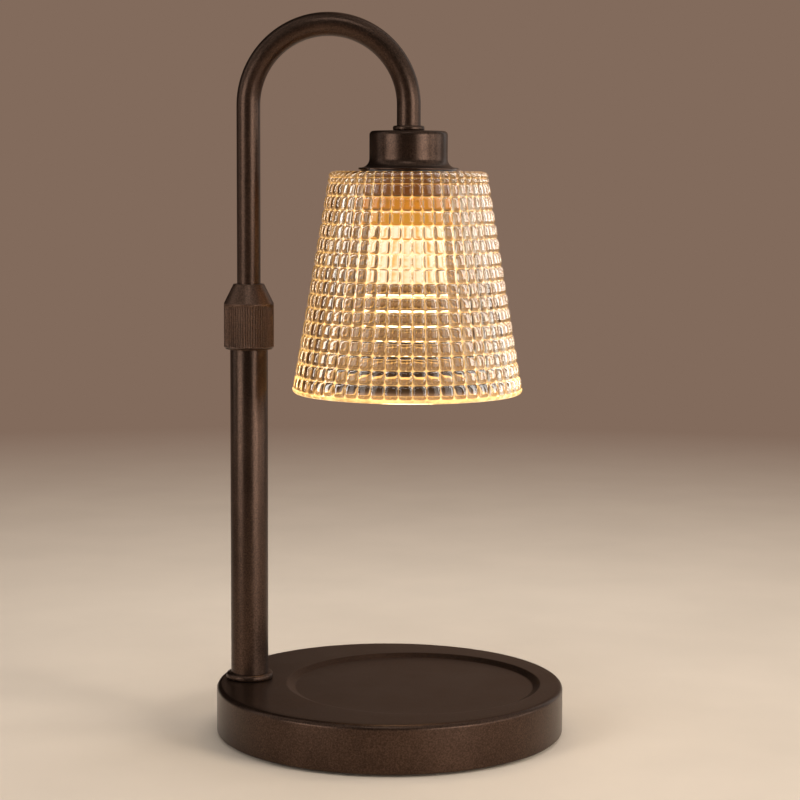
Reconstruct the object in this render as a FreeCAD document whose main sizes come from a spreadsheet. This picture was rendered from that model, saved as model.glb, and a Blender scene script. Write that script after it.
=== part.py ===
import FreeCAD, Part
import math
import os
import Sketcher

# A candle warmer lamp: a weighted round base with a shallow seat for the candle, a post near the
# base's rim, a gooseneck that telescopes out of the post, and a pressed-glass shade over the seat.
# Millimetres. The origin is the centre of the base on the table, +Z is up, and +X runs from the
# post towards the candle seat. The lamp is symmetric about the XZ plane apart from its wiring.

Vector = FreeCAD.Vector
doc = FreeCAD.newDocument("candle_warmer_lamp")
sheet = doc.addObject("Spreadsheet::Sheet", "dims")

DRIVING = [
    # Base
    ("base_diameter", 150.0, "outside of the spun steel cover"),
    ("base_height", 21.5, "top of the cover above the table"),
    ("cover_wall", 1.5, "sheet thickness of the cover"),
    ("rim_height", 1.0, "lower rim of the cover above the table"),
    ("base_edge_round", 2.2, "rounding of the cover's top edge"),
    ("rim_edge_round", 0.9, "rounding of the cover's lower edge"),
    ("candle_seat_offset", 10.4, "candle seat's centre from the base's centre"),
    ("candle_seat_radius", 55.0, "candle seat at the cover's top"),
    ("candle_seat_depth", 1.6, "depth of the pressed seat"),
    ("candle_seat_slope", 3.0, "width of the seat's sloping step"),
    ("seat_step_round", 1.2, "rounding of the step's two edges"),
    ("pad_radius", 70.5, "non-slip pad"),
    ("pad_thickness", 2.0, "non-slip pad"),
    ("plate_radius", 73.2, "bottom plate"),
    ("plate_thickness", 1.2, "bottom plate"),
    ("ballast_radius", 70.2, "cast-iron ballast"),
    ("ballast_thickness", 11.0, "cast-iron ballast"),
    ("ballast_chamfer", 1.5, "chamfer of the casting's upper edge"),
    ("bay_inner_radius", 44.0, "ballast inside the wiring bay"),
    ("bay_start", 75.0, "angle at which the wiring bay starts, degrees"),
    ("bay_sweep", 120.0, "angle that the wiring bay covers, degrees"),
    ("boss_diameter", 8.0, "welded screw bosses"),
    ("boss_weld", 0.2, "bosses run into the seat's sheet"),
    ("screw_ring", 34.0, "radius of the ring of base screws"),
    ("base_screw_core", 3.3, "core diameter of the M4 base screws"),
    ("base_screw_head", 7.2, "head diameter of the base screws"),
    ("screw_head_height", 1.4, "head height of the base screws"),
    ("screw_grip", 3.0, "length of screw in its boss"),
    ("screw_runout", 0.5, "tapped depth past the screw's end"),
    ("thread_play", 0.1, "tapped holes and pressed barrels over their pieces"),
    ("screw_clearance", 0.4, "holes in the bottom plate over their screws"),
    ("head_clearance", 2.0, "holes in the pad over the screws' heads"),
    ("inlet_height", 11.0, "axis of the cord inlet above the table"),
    ("inlet_bore", 6.2, "bore of the cord inlet"),
    ("inlet_barrel", 10.0, "outside of the inlet grommet's barrel"),
    ("inlet_flange", 13.0, "outside of the inlet grommet's flange"),
    ("inlet_length", 8.0, "length of the inlet grommet"),
    ("inlet_flange_width", 1.5, "thickness of the inlet grommet's flange"),
    ("inlet_flange_gap", 0.6, "between the flange and the cover's inside"),
    ("inlet_recess", 0.25, "outer face of the grommet inside the base's radius"),
    ("block_start", -30.0, "terminal block's near end along X"),
    ("block_side", 47.0, "terminal block's near side along Y"),
    ("block_length", 20.0, "terminal block"),
    ("block_width", 16.0, "terminal block, two ways side by side"),
    ("block_height", 10.5, "terminal block"),
    ("block_axis", 4.0, "wire ways above the block's foot"),
    ("block_bore", 4.6, "bore of a way"),
    ("insert_diameter", 4.4, "brass clamping tube"),
    ("insert_way", 3.0, "wire way through a clamping tube"),
    ("insert_length", 15.0, "clamping tube"),
    ("block_well", 4.0, "well over a clamping screw"),
    ("block_well_inset", 5.4, "wells from the block's ends"),
    # Post
    ("post_offset", 61.5, "post axis from the base's centre"),
    ("post_diameter", 16.2, "outside of the post tube"),
    ("post_wall", 1.2, "wall of the post tube"),
    ("post_top", 167.6, "upper end of the post tube"),
    ("foot_ring_diameter", 20.4, "ring round the post's foot"),
    ("foot_ring_height", 2.9, "ring round the post's foot"),
    ("foot_ring_round", 1.2, "rounding of the foot ring"),
    ("ring_play", 0.02, "rings over the tubes that they are pressed on"),
    ("stud_diameter", 9.9, "threaded stud under the post"),
    ("stud_reach", 9.5, "length of the stud below the cover's top"),
    ("stud_plug_height", 12.0, "stud's plug inside the post"),
    ("stud_bore", 6.6, "wire way through the stud"),
    ("stud_chamfer", 0.8, "chamfer at the stud's end"),
    ("stud_play", 0.3, "hole in the cover over the stud"),
    ("washer_diameter", 20.0, "washer under the cover"),
    ("washer_thickness", 1.2, "washer under the cover"),
    ("washer_play", 0.2, "washer's hole round the stud"),
    ("post_nut_flats", 14.0, "across the flats of the post nut"),
    ("post_nut_height", 4.5, "post nut"),
    # Clamp at the top of the post
    ("insert_bottom", 148.0, "lower end of the collet seat"),
    ("insert_thread", 17.4, "outside of the collet seat's thread"),
    ("insert_top", 181.0, "upper end of the collet seat"),
    ("insert_bore", 10.8, "bore of the collet seat"),
    ("collet_pocket", 14.4, "pocket for the collet in its seat"),
    ("collet_pocket_floor", 174.0, "floor of the collet's pocket"),
    ("collet_diameter", 14.2, "barrel of the collet"),
    ("collet_bore", 10.3, "bore of the collet"),
    ("collet_top", 191.4, "upper end of the collet"),
    ("collet_nose", 11.8, "upper end of the collet's cone"),
    ("collet_shoulder", 184.2, "foot of the collet's cone"),
    ("collet_slot", 1.0, "width of the collet's slots"),
    ("collet_slot_floor", 177.0, "lower end of the collet's slots"),
    ("clamp_play", 0.15, "play between the collet's cone and the nut's"),
    ("collet_play", 0.05, "play under the collet's foot"),
    ("nut_play", 0.3, "play over the collet's upper end"),
    ("nut_runout", 1.5, "lock nut's thread past the collet seat"),
    ("nut_bottom", 165.8, "lower end of the lock nut"),
    ("nut_shoulder", 185.5, "where the lock nut's cone starts"),
    ("nut_top", 193.8, "upper end of the lock nut"),
    ("nut_diameter", 21.4, "lock nut over its knurls"),
    ("nut_nose", 13.1, "upper end of the lock nut's cone"),
    ("nut_mouth", 10.9, "hole in the top of the lock nut"),
    ("nut_thread", 17.6, "threaded bore of the lock nut"),
    ("nut_chamfer", 0.8, "chamfer at the lock nut's lower edge"),
    ("knurl_count", 60.0, "ribs round the lock nut"),
    ("knurl_depth", 0.35, "depth of the grooves between the ribs"),
    ("knurl_width", 0.77, "width of such a groove"),
    ("knurl_overcut", 0.1, "groove's outline outside the nut"),
    ("knurl_start", 185.0, "upper end of the knurl"),
    # Gooseneck
    ("arm_diameter", 10.1, "outside of the gooseneck tube"),
    ("arm_wall", 1.0, "wall of the gooseneck tube"),
    ("arm_foot", 106.0, "lower end of the gooseneck inside the post"),
    ("bend_height", 269.6, "where the gooseneck's half circle starts"),
    ("reach", 68.4, "post axis to shade axis"),
    ("bush_diameter", 13.64, "guide bush on the arm's foot"),
    ("bush_height", 10.0, "guide bush on the arm's foot"),
    ("bush_lip", 2.0, "lip of the bush under the arm's end"),
    ("bush_chamfer", 0.6, "chamfer at the bush's lower edge"),
    ("neck_ring_diameter", 13.4, "ring where the arm meets the cap"),
    ("neck_ring_height", 2.2, "ring where the arm meets the cap"),
    ("neck_ring_round", 0.9, "rounding of the neck ring"),
    ("nipple_bore", 5.6, "wire way through the nipple"),
    ("nipple_play", 0.05, "nipple inside the arm"),
    ("nipple_bottom", 253.2, "lower end of the nipple"),
    ("nipple_top", 271.0, "upper end of the nipple inside the arm"),
    ("nipple_nut_flats", 13.0, "across the flats of the nipple nut"),
    ("nipple_nut_height", 3.0, "nipple nut"),
    # Cap and lampholder
    ("cap_top", 259.1, "top of the shade cap"),
    ("cap_diameter", 33.2, "barrel of the shade cap"),
    ("cap_flange", 42.4, "foot of the shade cap"),
    ("cap_flange_top", 243.6, "upper face of the cap's foot"),
    ("cap_bottom", 242.7, "lower face of the cap's foot"),
    ("cap_wall", 1.2, "sheet thickness of the cap"),
    ("cap_top_round", 1.5, "rounding of the cap's top edge"),
    ("cap_cove", 3.8, "radius of the cove above the cap's foot"),
    ("cap_play", 0.4, "cap's foot round the sleeve"),
    ("cap_lip", 0.6, "rise of the cap's inside over its foot"),
    ("gasket_thickness", 0.6, "gasket between cap and glass"),
    ("gasket_inset", 1.0, "gasket's edge inside the cap's"),
    ("bracket_sheet", 1.0, "sheet thickness of the bracket"),
    ("bracket_width", 9.0, "width of the bracket's strap"),
    ("bracket_leg", 10.9, "inner face of the bracket's legs from the axis"),
    ("bracket_foot_reach", 14.6, "end of the bracket's feet from the axis"),
    ("holder_face", 238.7, "lower face of the lampholder"),
    ("holder_flange", 31.0, "flange of the lampholder"),
    ("holder_flange_height", 4.0, "flange of the lampholder"),
    ("holder_boss", 20.8, "upper boss of the lampholder"),
    ("holder_top", 247.8, "top of the lampholder"),
    ("holder_screw_ring", 13.0, "radius of the holder screws' ring"),
    ("holder_screw_core", 2.0, "core diameter of the M2.5 holder screws"),
    ("holder_screw_head", 4.2, "head diameter of the holder screws"),
    ("holder_screw_cap", 1.2, "head height of the holder screws"),
    ("holder_screw_inset", 0.2, "screw heads above the holder's face"),
    ("holder_screw_proud", 0.6, "screw ends above the bracket's feet"),
    ("holder_screw_hole", 2.5, "holes for the screws in holder and sleeve"),
    ("holder_screw_sink", 1.6, "depth of the sinks for the screws' heads"),
    ("holder_lip", 3.2, "ceramic under the contacts' chambers"),
    ("pin_head_play", 0.4, "entries round the pins' heads"),
    ("pin_shank_play", 0.3, "slots beside the pins' shanks"),
    ("pin_rest_play", 0.55, "rests round the locked pins' shanks"),
    ("chamber_play", 0.7, "chambers beside the pins' heads"),
    ("chamber_rise", 1.4, "chambers above the pins' heads"),
    ("chamber_margin", 38.0, "angle of a chamber past a pin's travel, degrees"),
    ("wire_play", 0.2, "holder's holes round its wires"),
    ("contact_width", 4.0, "spring contact"),
    ("contact_thickness", 0.5, "spring contact"),
    ("contact_gap", 0.1, "contact under its chamber's top"),
    ("contact_lead", 25.0, "angle of a contact ahead of the pin's travel, degrees"),
    ("contact_sweep", 67.0, "angle that a contact covers, degrees"),
    ("sleeve_diameter", 34.0, "threaded sleeve through the glass"),
    ("sleeve_wall", 1.2, "wall of the sleeve"),
    ("sleeve_bottom", 219.3, "lower end of the sleeve"),
    ("ring_diameter", 39.0, "retaining ring under the glass"),
    ("ring_bore", 34.1, "bore of the retaining ring"),
    ("ring_height", 9.0, "retaining ring under the glass"),
    ("ring_gap", 0.1, "play between the glass and its ring"),
    ("grip_count", 20.0, "finger grips round the retaining ring"),
    ("grip_radius", 1.1, "radius of one finger grip"),
    ("grip_offset", 0.44, "finger grip's axis outside the ring's edge"),
    ("grip_collar", 1.5, "plain band above the finger grips"),
    ("sleeve_play", 0.2, "sleeve round the holder's boss"),
    # Shade
    ("shade_bottom", 147.9, "lower rim of the glass"),
    ("shade_bottom_radius", 49.5, "cone of the panes at the lower rim's height"),
    ("shade_top_radius", 33.5, "cone of the panes at the glass's top"),
    ("shade_wall", 7.0, "thickness of the glass"),
    ("shade_plate", 6.0, "thickness of the glass across the top"),
    ("shade_hole", 34.8, "hole in the top of the glass"),
    ("shade_top_bead", 2.6, "radius of the bead round the top"),
    ("shade_top_flat", 31.2, "radius of the flat top inside its bead"),
    ("shade_rim_bead", 0.68, "radius of the bead round the lower rim"),
    ("shade_rim_flat", 48.85, "radius of the flat under the rim, inside its bead"),
    ("shade_rim_round", 1.6, "rounding of the lower rim's inner edge"),
    ("blank_margin", 0.6, "glass outside the panes before they are cut"),
    ("bead_ledge", 0.35, "ledge and plain edge between a bead and the grooves beside it"),
    ("waffle_columns", 52.0, "columns of cells round the glass"),
    ("waffle_low", 149.6, "lowest ring groove between the rows of cells"),
    ("waffle_pitch", 5.87, "height of a row of cells"),
    ("waffle_rows", 14.0, "full rows of cells"),
    ("waffle_collar", 237.1, "ring groove above the plain band"),
    ("waffle_high", 239.4, "highest ring groove, under the top bead"),
    ("ring_groove", 0.75, "depth of the grooves between the rows"),
    ("ring_bevel", 0.9, "height of one flank of such a groove"),
    ("flute_groove", 0.65, "depth of the grooves between the columns"),
    ("flute_bevel", 1.1, "width of one flank of such a groove"),
    ("column_overlap", 0.3, "width by which the cut of a column passes its corners"),
    # Bulb
    ("bulb_diameter", 35.4, "front of the reflector bulb"),
    ("bulb_front", 193.6, "front face of the bulb"),
    ("bulb_rim", 4.0, "straight rim of the reflector"),
    ("bulb_neck_radius", 12.4, "neck of the reflector"),
    ("bulb_neck", 221.0, "where the reflector meets its ceramic base"),
    ("bulb_glass", 1.2, "thickness of the reflector's glass"),
    ("bulb_bowl_radius", 46.0, "radius of the reflector's bowl in section"),
    ("bulb_base_radius", 13.4, "ceramic base of the bulb"),
    ("bulb_base_flat", 9.2, "flats of the ceramic base from the axis"),
    ("bulb_base_cone", 6.0, "height of the base's conical foot"),
    ("bulb_flat_start", 8.0, "lower end of the flats above the neck"),
    ("bulb_shoulder", 1.0, "chamfer at the top of the base"),
    ("bulb_seat", 0.2, "play between the bulb's base and its holder"),
    ("burner_hole", 9.2, "hole in the reflector's neck"),
    ("lens_inset", 0.3, "lens behind the reflector's front"),
    ("lens_edge", 1.2, "thickness of the lens at its edge"),
    ("lens_middle", 1.9, "thickness of the lens at its middle"),
    ("burner_radius", 3.0, "glass of the burner"),
    ("burner_length", 15.0, "burner below the reflector's neck"),
    ("pin_spacing", 10.0, "between the bulb's two pins"),
    ("pin_diameter", 3.0, "shank of a pin"),
    ("pin_head", 5.0, "head of a pin"),
    ("pin_head_height", 2.3, "head of a pin"),
    ("pin_length", 7.0, "pin below its head's top"),
    ("pin_twist", 25.0, "turn that unlocks the bulb, degrees"),
    # Leads
    ("lead_diameter", 3.8, "the lamp's two-core lead"),
    ("wire_diameter", 1.6, "a single wire to the lampholder"),
]


class Size:
    """A length or an angle: its value, and the spreadsheet expression that gives it."""

    def __init__(self, value, text):
        self.value = value
        self.text = text

    def __add__(self, other):
        other = size(other)
        return Size(self.value + other.value, "(%s + %s)" % (self.text, other.text))

    def __sub__(self, other):
        other = size(other)
        return Size(self.value - other.value, "(%s - %s)" % (self.text, other.text))

    def __mul__(self, other):
        other = size(other)
        return Size(self.value * other.value, "(%s * %s)" % (self.text, other.text))

    def __truediv__(self, other):
        other = size(other)
        return Size(self.value / other.value, "(%s / %s)" % (self.text, other.text))

    def __neg__(self):
        return Size(-self.value, "(-1 * %s)" % self.text)


def size(amount):
    """A plain number as a Size."""
    if isinstance(amount, Size):
        return amount
    return Size(float(amount), repr(float(amount)))


def cosine(angle):
    return Size(math.cos(math.radians(angle.value)), "cos(%s)" % angle.text)


def sine(angle):
    return Size(math.sin(math.radians(angle.value)), "sin(%s)" % angle.text)


class Dimensions:
    """The spreadsheet's cells by name."""


d = Dimensions()
for row, (alias, number, note) in enumerate(DRIVING, 1):
    sheet.set("A%d" % row, note)
    sheet.set("B%d" % row, repr(number))
    sheet.setAlias("B%d" % row, alias)
    setattr(d, alias, Size(number, "dims." + alias))
doc.recompute()

nodes = {}


# ---------------------------------------------------------------- sketches and features

def bind(thing, prop, amount):
    """Tie a property to the spreadsheet."""
    thing.setExpression(prop, size(amount).text)


def node(thing, name):
    """Register a finished sub-part under its name."""
    thing.Label = name
    nodes[name] = thing
    return thing


def stand(thing, along=None, across=None, up=None):
    """Place a sub-part's own frame in the lamp's."""
    for prop, amount in (("x", along), ("y", across), ("z", up)):
        if amount is not None:
            bind(thing, "Placement.Base." + prop, amount)
    return thing


def origin_feature(body, role):
    return [item for item in body.Origin.OriginFeatures if item.Role == role][0]


def new_sketch(body, name, role, shift_x=None, lift=None):
    """A sketch on one of its body's origin planes, shifted in its plane or off it."""
    sketch = body.newObject("Sketcher::SketchObject", name)
    sketch.AttachmentSupport = [(origin_feature(body, role), "")]
    sketch.MapMode = "FlatFace"
    if shift_x is not None:
        bind(sketch, "AttachmentOffset.Base.x", shift_x)
    if lift is not None:
        bind(sketch, "AttachmentOffset.Base.z", lift)
    return sketch


def hold(sketch, edge, end, across, up):
    """Fix one point of a sketch by its two distances from the sketch's origin."""
    for kind, amount, axis in (("DistanceX", size(across), -2), ("DistanceY", size(up), -1)):
        if abs(amount.value) < 1e-9:
            sketch.addConstraint(Sketcher.Constraint("PointOnObject", edge, end, axis))
            continue
        number = sketch.addConstraint(Sketcher.Constraint(kind, -1, 1, edge, end, amount.value))
        bind(sketch, "Constraints[%d]" % number, amount)


def arc_between(start, finish, radius, centre_on_left):
    """The arc from start to finish, and which of its ends is the start."""
    chord = finish - start
    middle = (start + finish) * 0.5
    height = math.sqrt(max(radius ** 2 - (chord.Length / 2) ** 2, 0.0))
    left = Vector(-chord.y, chord.x, 0).normalize()
    centre = middle + left * (height if centre_on_left else -height)
    first, last = (start, finish) if centre_on_left else (finish, start)
    angles = [math.atan2(p.y - centre.y, p.x - centre.x) for p in (first, last)]
    if angles[1] < angles[0]:
        angles[1] += 2 * math.pi
    circle = Part.Circle(centre, Vector(0, 0, 1), radius)
    return Part.ArcOfCircle(circle, angles[0], angles[1]), (1 if centre_on_left else 2)


def outline(body, name, points, role="XZ_Plane", shift_x=None, lift=None):
    """A closed outline through the points. A point is (across, up), and the edge that arrives
    at it is straight, or (across, up, radius, side), where side says on which hand of an arc
    its centre lies."""
    sketch = new_sketch(body, name, role, shift_x, lift)
    count = len(points)
    places = [Vector(size(p[0]).value, size(p[1]).value, 0) for p in points]
    edges = []
    for index in range(count):
        target = points[(index + 1) % count]
        start, finish = places[index], places[(index + 1) % count]
        if len(target) == 2:
            edges.append((sketch.addGeometry(Part.LineSegment(start, finish), False), 1))
            continue
        curve, first = arc_between(start, finish, target[2].value, target[3] == "left")
        edge = sketch.addGeometry(curve, False)
        number = sketch.addConstraint(Sketcher.Constraint("Radius", edge, target[2].value))
        bind(sketch, "Constraints[%d]" % number, target[2])
        edges.append((edge, first))
    for index, (edge, first) in enumerate(edges):
        before, before_first = edges[index - 1]
        sketch.addConstraint(Sketcher.Constraint("Coincident", before, 3 - before_first, edge, first))
        hold(sketch, edge, first, points[index][0], points[index][1])
    return sketch


def circles(body, name, rings, role="XY_Plane", lift=None):
    """A sketch of circles, each (across, up, diameter)."""
    sketch = new_sketch(body, name, role, lift=lift)
    for across, up, diameter in rings:
        diameter = size(diameter)
        centre = Vector(size(across).value, size(up).value, 0)
        edge = sketch.addGeometry(Part.Circle(centre, Vector(0, 0, 1), diameter.value / 2), False)
        hold(sketch, edge, 3, across, up)
        number = sketch.addConstraint(Sketcher.Constraint("Diameter", edge, diameter.value))
        bind(sketch, "Constraints[%d]" % number, diameter)
    return sketch


def new_body(name):
    return doc.addObject("PartDesign::Body", name)


def revolved(body, name, sketch, kind="Revolution"):
    """Turn a profile a full turn about its sketch's upright axis."""
    feature = body.newObject("PartDesign::" + kind, name)
    feature.Profile = sketch
    feature.ReferenceAxis = (sketch, ["V_Axis"])
    feature.Angle = 360
    return feature


def turned(name, points):
    """A body turned from one closed half section."""
    body = new_body(name)
    revolved(body, name + "_turned", outline(body, name + "_section", points))
    return body


def raised(body, name, sketch, height, reverse=False, both_ways=False):
    feature = body.newObject("PartDesign::Pad", name)
    feature.Profile = sketch
    bind(feature, "Length", height)
    feature.Reversed = reverse
    if both_ways:
        feature.SideType = "Symmetric"
    return feature


def sunk(body, name, sketch, depth, reverse=False, both_ways=False, slant=None):
    """A pocket, checked to have cut something: with reverse it cuts along the sketch's normal.
    A slant is how far it runs along X and Y for each millimetre up."""
    doc.recompute()
    before = body.Tip.Shape.Volume
    feature = body.newObject("PartDesign::Pocket", name)
    feature.Profile = sketch
    bind(feature, "Length", depth)
    feature.Reversed = reverse
    if both_ways:
        feature.SideType = "Symmetric"
    if slant is not None:
        feature.UseCustomVector = True
        feature.AlongSketchNormal = True
        feature.Direction = Vector(slant[0].value, slant[1].value, 1)
        bind(feature, "Direction.x", slant[0])
        bind(feature, "Direction.y", slant[1])
    doc.recompute()
    if not feature.Shape.Volume < before:
        raise RuntimeError(name + " cuts nothing")
    return feature


def repeated(body, name, features, count, axis="Z_Axis"):
    """Repeat features evenly round one of the body's axes."""
    pattern = body.newObject("PartDesign::PolarPattern", name)
    pattern.Originals = features
    pattern.Axis = (origin_feature(body, axis), [""])
    pattern.Angle = 360
    bind(pattern, "Occurrences", count)
    body.Tip = pattern
    return pattern


def rounded(body, name, radius, rings):
    """Round the circular edges that lie at (radius, height) or (radius, height, centre x)."""
    doc.recompute()
    base = body.Tip
    picked = []
    for number, edge in enumerate(base.Shape.Edges, 1):
        if not isinstance(edge.Curve, Part.Circle):
            continue
        centre = edge.Curve.Center
        for ring in rings:
            middle = size(ring[2]).value if len(ring) > 2 else 0.0
            spans = (edge.Curve.Radius - size(ring[0]).value, centre.z - size(ring[1]).value,
                     centre.x - middle, centre.y)
            if max(abs(span) for span in spans) < 0.02:
                picked.append("Edge%d" % number)
                break
    if len(picked) < len(rings):
        raise RuntimeError("%s found %d edges of %d" % (name, len(picked), len(rings)))
    feature = body.newObject("PartDesign::Fillet", name)
    feature.Base = (base, picked)
    bind(feature, "Radius", radius)
    return feature


# ---------------------------------------------------------------- primitives and booleans

def primitive(kind, name, **sizes):
    thing = doc.addObject("Part::" + kind, name)
    for prop, amount in sizes.items():
        bind(thing, prop, amount)
    return thing


def cylinder(name, radius, height, bottom, along=0, across=0):
    thing = primitive("Cylinder", name, Radius=radius, Height=height)
    return stand(thing, along, across, bottom)


def cut(name, base, tools):
    thing = doc.addObject("Part::Cut", name)
    thing.Base = base
    thing.Tool = tools[0] if len(tools) == 1 else joined(name + "_tools", tools)
    return thing


def joined(name, pieces):
    thing = doc.addObject("Part::MultiFuse", name)
    thing.Shapes = pieces
    return thing


def sector(name, inner, outer, start, sweep, bottom, height):
    """A piece of a flat ring between two angles."""
    wedge = primitive("Cylinder", name + "_wedge", Radius=outer, Height=height, Angle=sweep)
    stand(wedge, up=bottom)
    wedge.Placement = FreeCAD.Placement(Vector(), FreeCAD.Rotation(Vector(0, 0, 1), 0))
    bind(wedge, "Placement.Rotation.Angle", start)
    core = cylinder(name + "_core", inner, height, bottom)
    return cut(name, wedge, [core])


def hex_nut(name, flats, hole, bottom, height, along):
    """A hexagon nut whose lower corners are chamfered by a cone."""
    corner = flats / (cosine(size(30)) * 2)
    prism = primitive("Prism", name + "_hexagon", Circumradius=corner, Height=height)
    prism.Polygon = 6
    stand(prism, along, 0, bottom)
    chamfer = primitive("Cone", name + "_chamfer", Radius1=flats / 2, Radius2=flats / 2 + height * 2,
                        Height=height)
    stand(chamfer, along, 0, bottom)
    blank = doc.addObject("Part::Common", name + "_blank")
    blank.Base = prism
    blank.Tool = chamfer
    bore = cylinder(name + "_bore", hole, height, bottom, along)
    return node(cut(name, blank, [bore]), name)


def screw(name, core, head, bottom, head_height, length, along, across):
    """A round-headed screw that stands head down, with a straight slot in its head."""
    shank = cylinder(name + "_shank", core / 2, length, bottom, along, across)
    cap = cylinder(name + "_head", head / 2, head_height, bottom, along, across)
    slot_width = head / 6
    slot = primitive("Box", name + "_slot", Length=head, Width=slot_width, Height=head_height / 2)
    stand(slot, size(along) - head / 2, size(across) - slot_width / 2, bottom)
    return cut(name, joined(name + "_blank", [shank, cap]), [slot])


def group(name, pieces):
    """Identical fasteners as one node."""
    thing = doc.addObject("Part::Compound", name)
    thing.Links = pieces
    return node(thing, name)


def lead(name, points, diameter):
    """A round lead along straight runs, with an arc at each inner point of its route."""
    places = [Vector(*point) for point in points]
    radius_share = 0.45
    edges = []
    start = places[0]
    for before, corner, after in zip(places, places[1:], places[2:]):
        inward = (before - corner).normalize()
        outward = (after - corner).normalize()
        run = radius_share * min((before - corner).Length, (after - corner).Length)
        half_turn = (math.pi - inward.getAngle(outward)) / 2
        bend = run / math.tan(half_turn)
        bisector = (inward + outward).normalize()
        middle = corner + bisector * (math.hypot(bend, run) - bend)
        edges.append(Part.LineSegment(start, corner + inward * run).toShape())
        edges.append(Part.Arc(corner + inward * run, middle, corner + outward * run).toShape())
        start = corner + outward * run
    edges.append(Part.LineSegment(start, places[-1]).toShape())
    route = Part.Wire(edges)
    direction = (places[1] - places[0]).normalize()
    ring = Part.Wire([Part.Circle(places[0], direction, diameter / 2).toShape()])
    thing = doc.addObject("Part::Feature", name)
    thing.Shape = route.makePipeShell([ring], True, False)
    expected = math.pi * diameter ** 2 / 4 * route.Length
    if abs(thing.Shape.Volume / expected - 1) > 0.02:
        raise RuntimeError("%s has volume %.1f, not %.1f" % (name, thing.Shape.Volume, expected))
    return thing


# ---------------------------------------------------------------- derived sizes

base_radius = d.base_diameter / 2
cover_inside = d.base_height - d.cover_wall
candle_seat_floor = d.base_height - d.candle_seat_depth
pan_underside = candle_seat_floor - d.cover_wall
plate_top = d.pad_thickness + d.plate_thickness
ballast_top = plate_top + d.ballast_thickness
post_radius = d.post_diameter / 2
post_inside = post_radius - d.post_wall
post_x = -d.post_offset
shade_x = d.reach - d.post_offset
arm_radius = d.arm_diameter / 2
arm_inside = arm_radius - d.arm_wall
sleeve_radius = d.sleeve_diameter / 2
sleeve_inside = sleeve_radius - d.sleeve_wall
sleeve_top = d.holder_face + d.holder_flange_height + d.sleeve_wall
shade_top = d.cap_bottom - d.gasket_thickness
shade_ceiling = shade_top - d.shade_plate
shade_slope = (d.shade_bottom_radius - d.shade_top_radius) / (shade_top - d.shade_bottom)


# ---------------------------------------------------------------- base

def make_base_cover():
    """Spun steel cup. The candle seat is pressed into its top, off centre, so the sheet steps
    down there on both sides. Screw bosses are welded under the seat."""
    body = new_body("base_cover")
    revolved(body, "cup", outline(body, "cup_section", [
        (0, cover_inside),
        (base_radius - d.cover_wall, cover_inside),
        (base_radius - d.cover_wall, d.rim_height),
        (base_radius, d.rim_height),
        (base_radius, d.base_height),
        (0, d.base_height),
    ]))
    pan_radius = d.candle_seat_radius + d.cover_wall
    revolved(body, "pan", outline(body, "pan_section", [
        (0, pan_underside),
        (pan_radius - d.candle_seat_slope, pan_underside),
        (pan_radius, cover_inside),
        (pan_radius, cover_inside + d.cover_wall / 2),
        (0, cover_inside + d.cover_wall / 2),
    ], shift_x=d.candle_seat_offset))
    revolved(body, "seat", outline(body, "seat_section", [
        (0, candle_seat_floor),
        (d.candle_seat_radius - d.candle_seat_slope, candle_seat_floor),
        (d.candle_seat_radius, d.base_height),
        (d.candle_seat_radius, d.base_height + 1),
        (0, d.base_height + 1),
    ], shift_x=d.candle_seat_offset), kind="Groove")
    boss = raised(body, "boss", circles(body, "boss_outline", [(0, -d.screw_ring, d.boss_diameter)],
                                        lift=ballast_top), pan_underside - ballast_top + d.boss_weld)
    tapping = sunk(body, "tapping", circles(body, "tapping_outline",
                                            [(0, -d.screw_ring, d.base_screw_core + d.thread_play)],
                                            lift=ballast_top),
                   d.screw_grip + d.screw_runout, reverse=True)
    repeated(body, "bosses", [boss, tapping], 3)
    sunk(body, "post_hole", circles(body, "post_hole_outline", [(post_x, 0, d.stud_diameter + d.stud_play)],
                                    lift=cover_inside), d.cover_wall, reverse=True)
    sunk(body, "inlet_hole", circles(body, "inlet_hole_outline",
                                     [(0, d.inlet_height, d.inlet_barrel + d.thread_play)],
                                     role="XZ_Plane", lift=-base_radius), d.cover_wall * 2,
         reverse=True)
    rounded(body, "top_edge", d.base_edge_round, [(base_radius, d.base_height)])
    rounded(body, "rim_edge", d.rim_edge_round, [(base_radius, d.rim_height)])
    rounded(body, "seat_edges", d.seat_step_round, [
        (d.candle_seat_radius, d.base_height, d.candle_seat_offset),
        (d.candle_seat_radius - d.candle_seat_slope, candle_seat_floor, d.candle_seat_offset),
    ])
    return node(body, "base_cover")


def drilled_disc(name, radius, bottom, thickness, hole):
    """A flat disc with a hole at each base screw."""
    body = new_body(name)
    raised(body, name + "_disc", circles(body, name + "_outline", [(0, 0, radius * 2)], lift=bottom),
           thickness)
    first = sunk(body, name + "_hole", circles(body, name + "_hole_outline",
                                               [(0, -d.screw_ring, hole)], lift=bottom),
                 thickness, reverse=True)
    repeated(body, name + "_holes", [first], 3)
    return node(body, name)


def base_screw_places():
    """The three screws stand at 270, 30 and 150 degrees."""
    angles = [size(270), size(30), size(150)]
    return [(d.screw_ring * cosine(angle), d.screw_ring * sine(angle)) for angle in angles]


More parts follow.
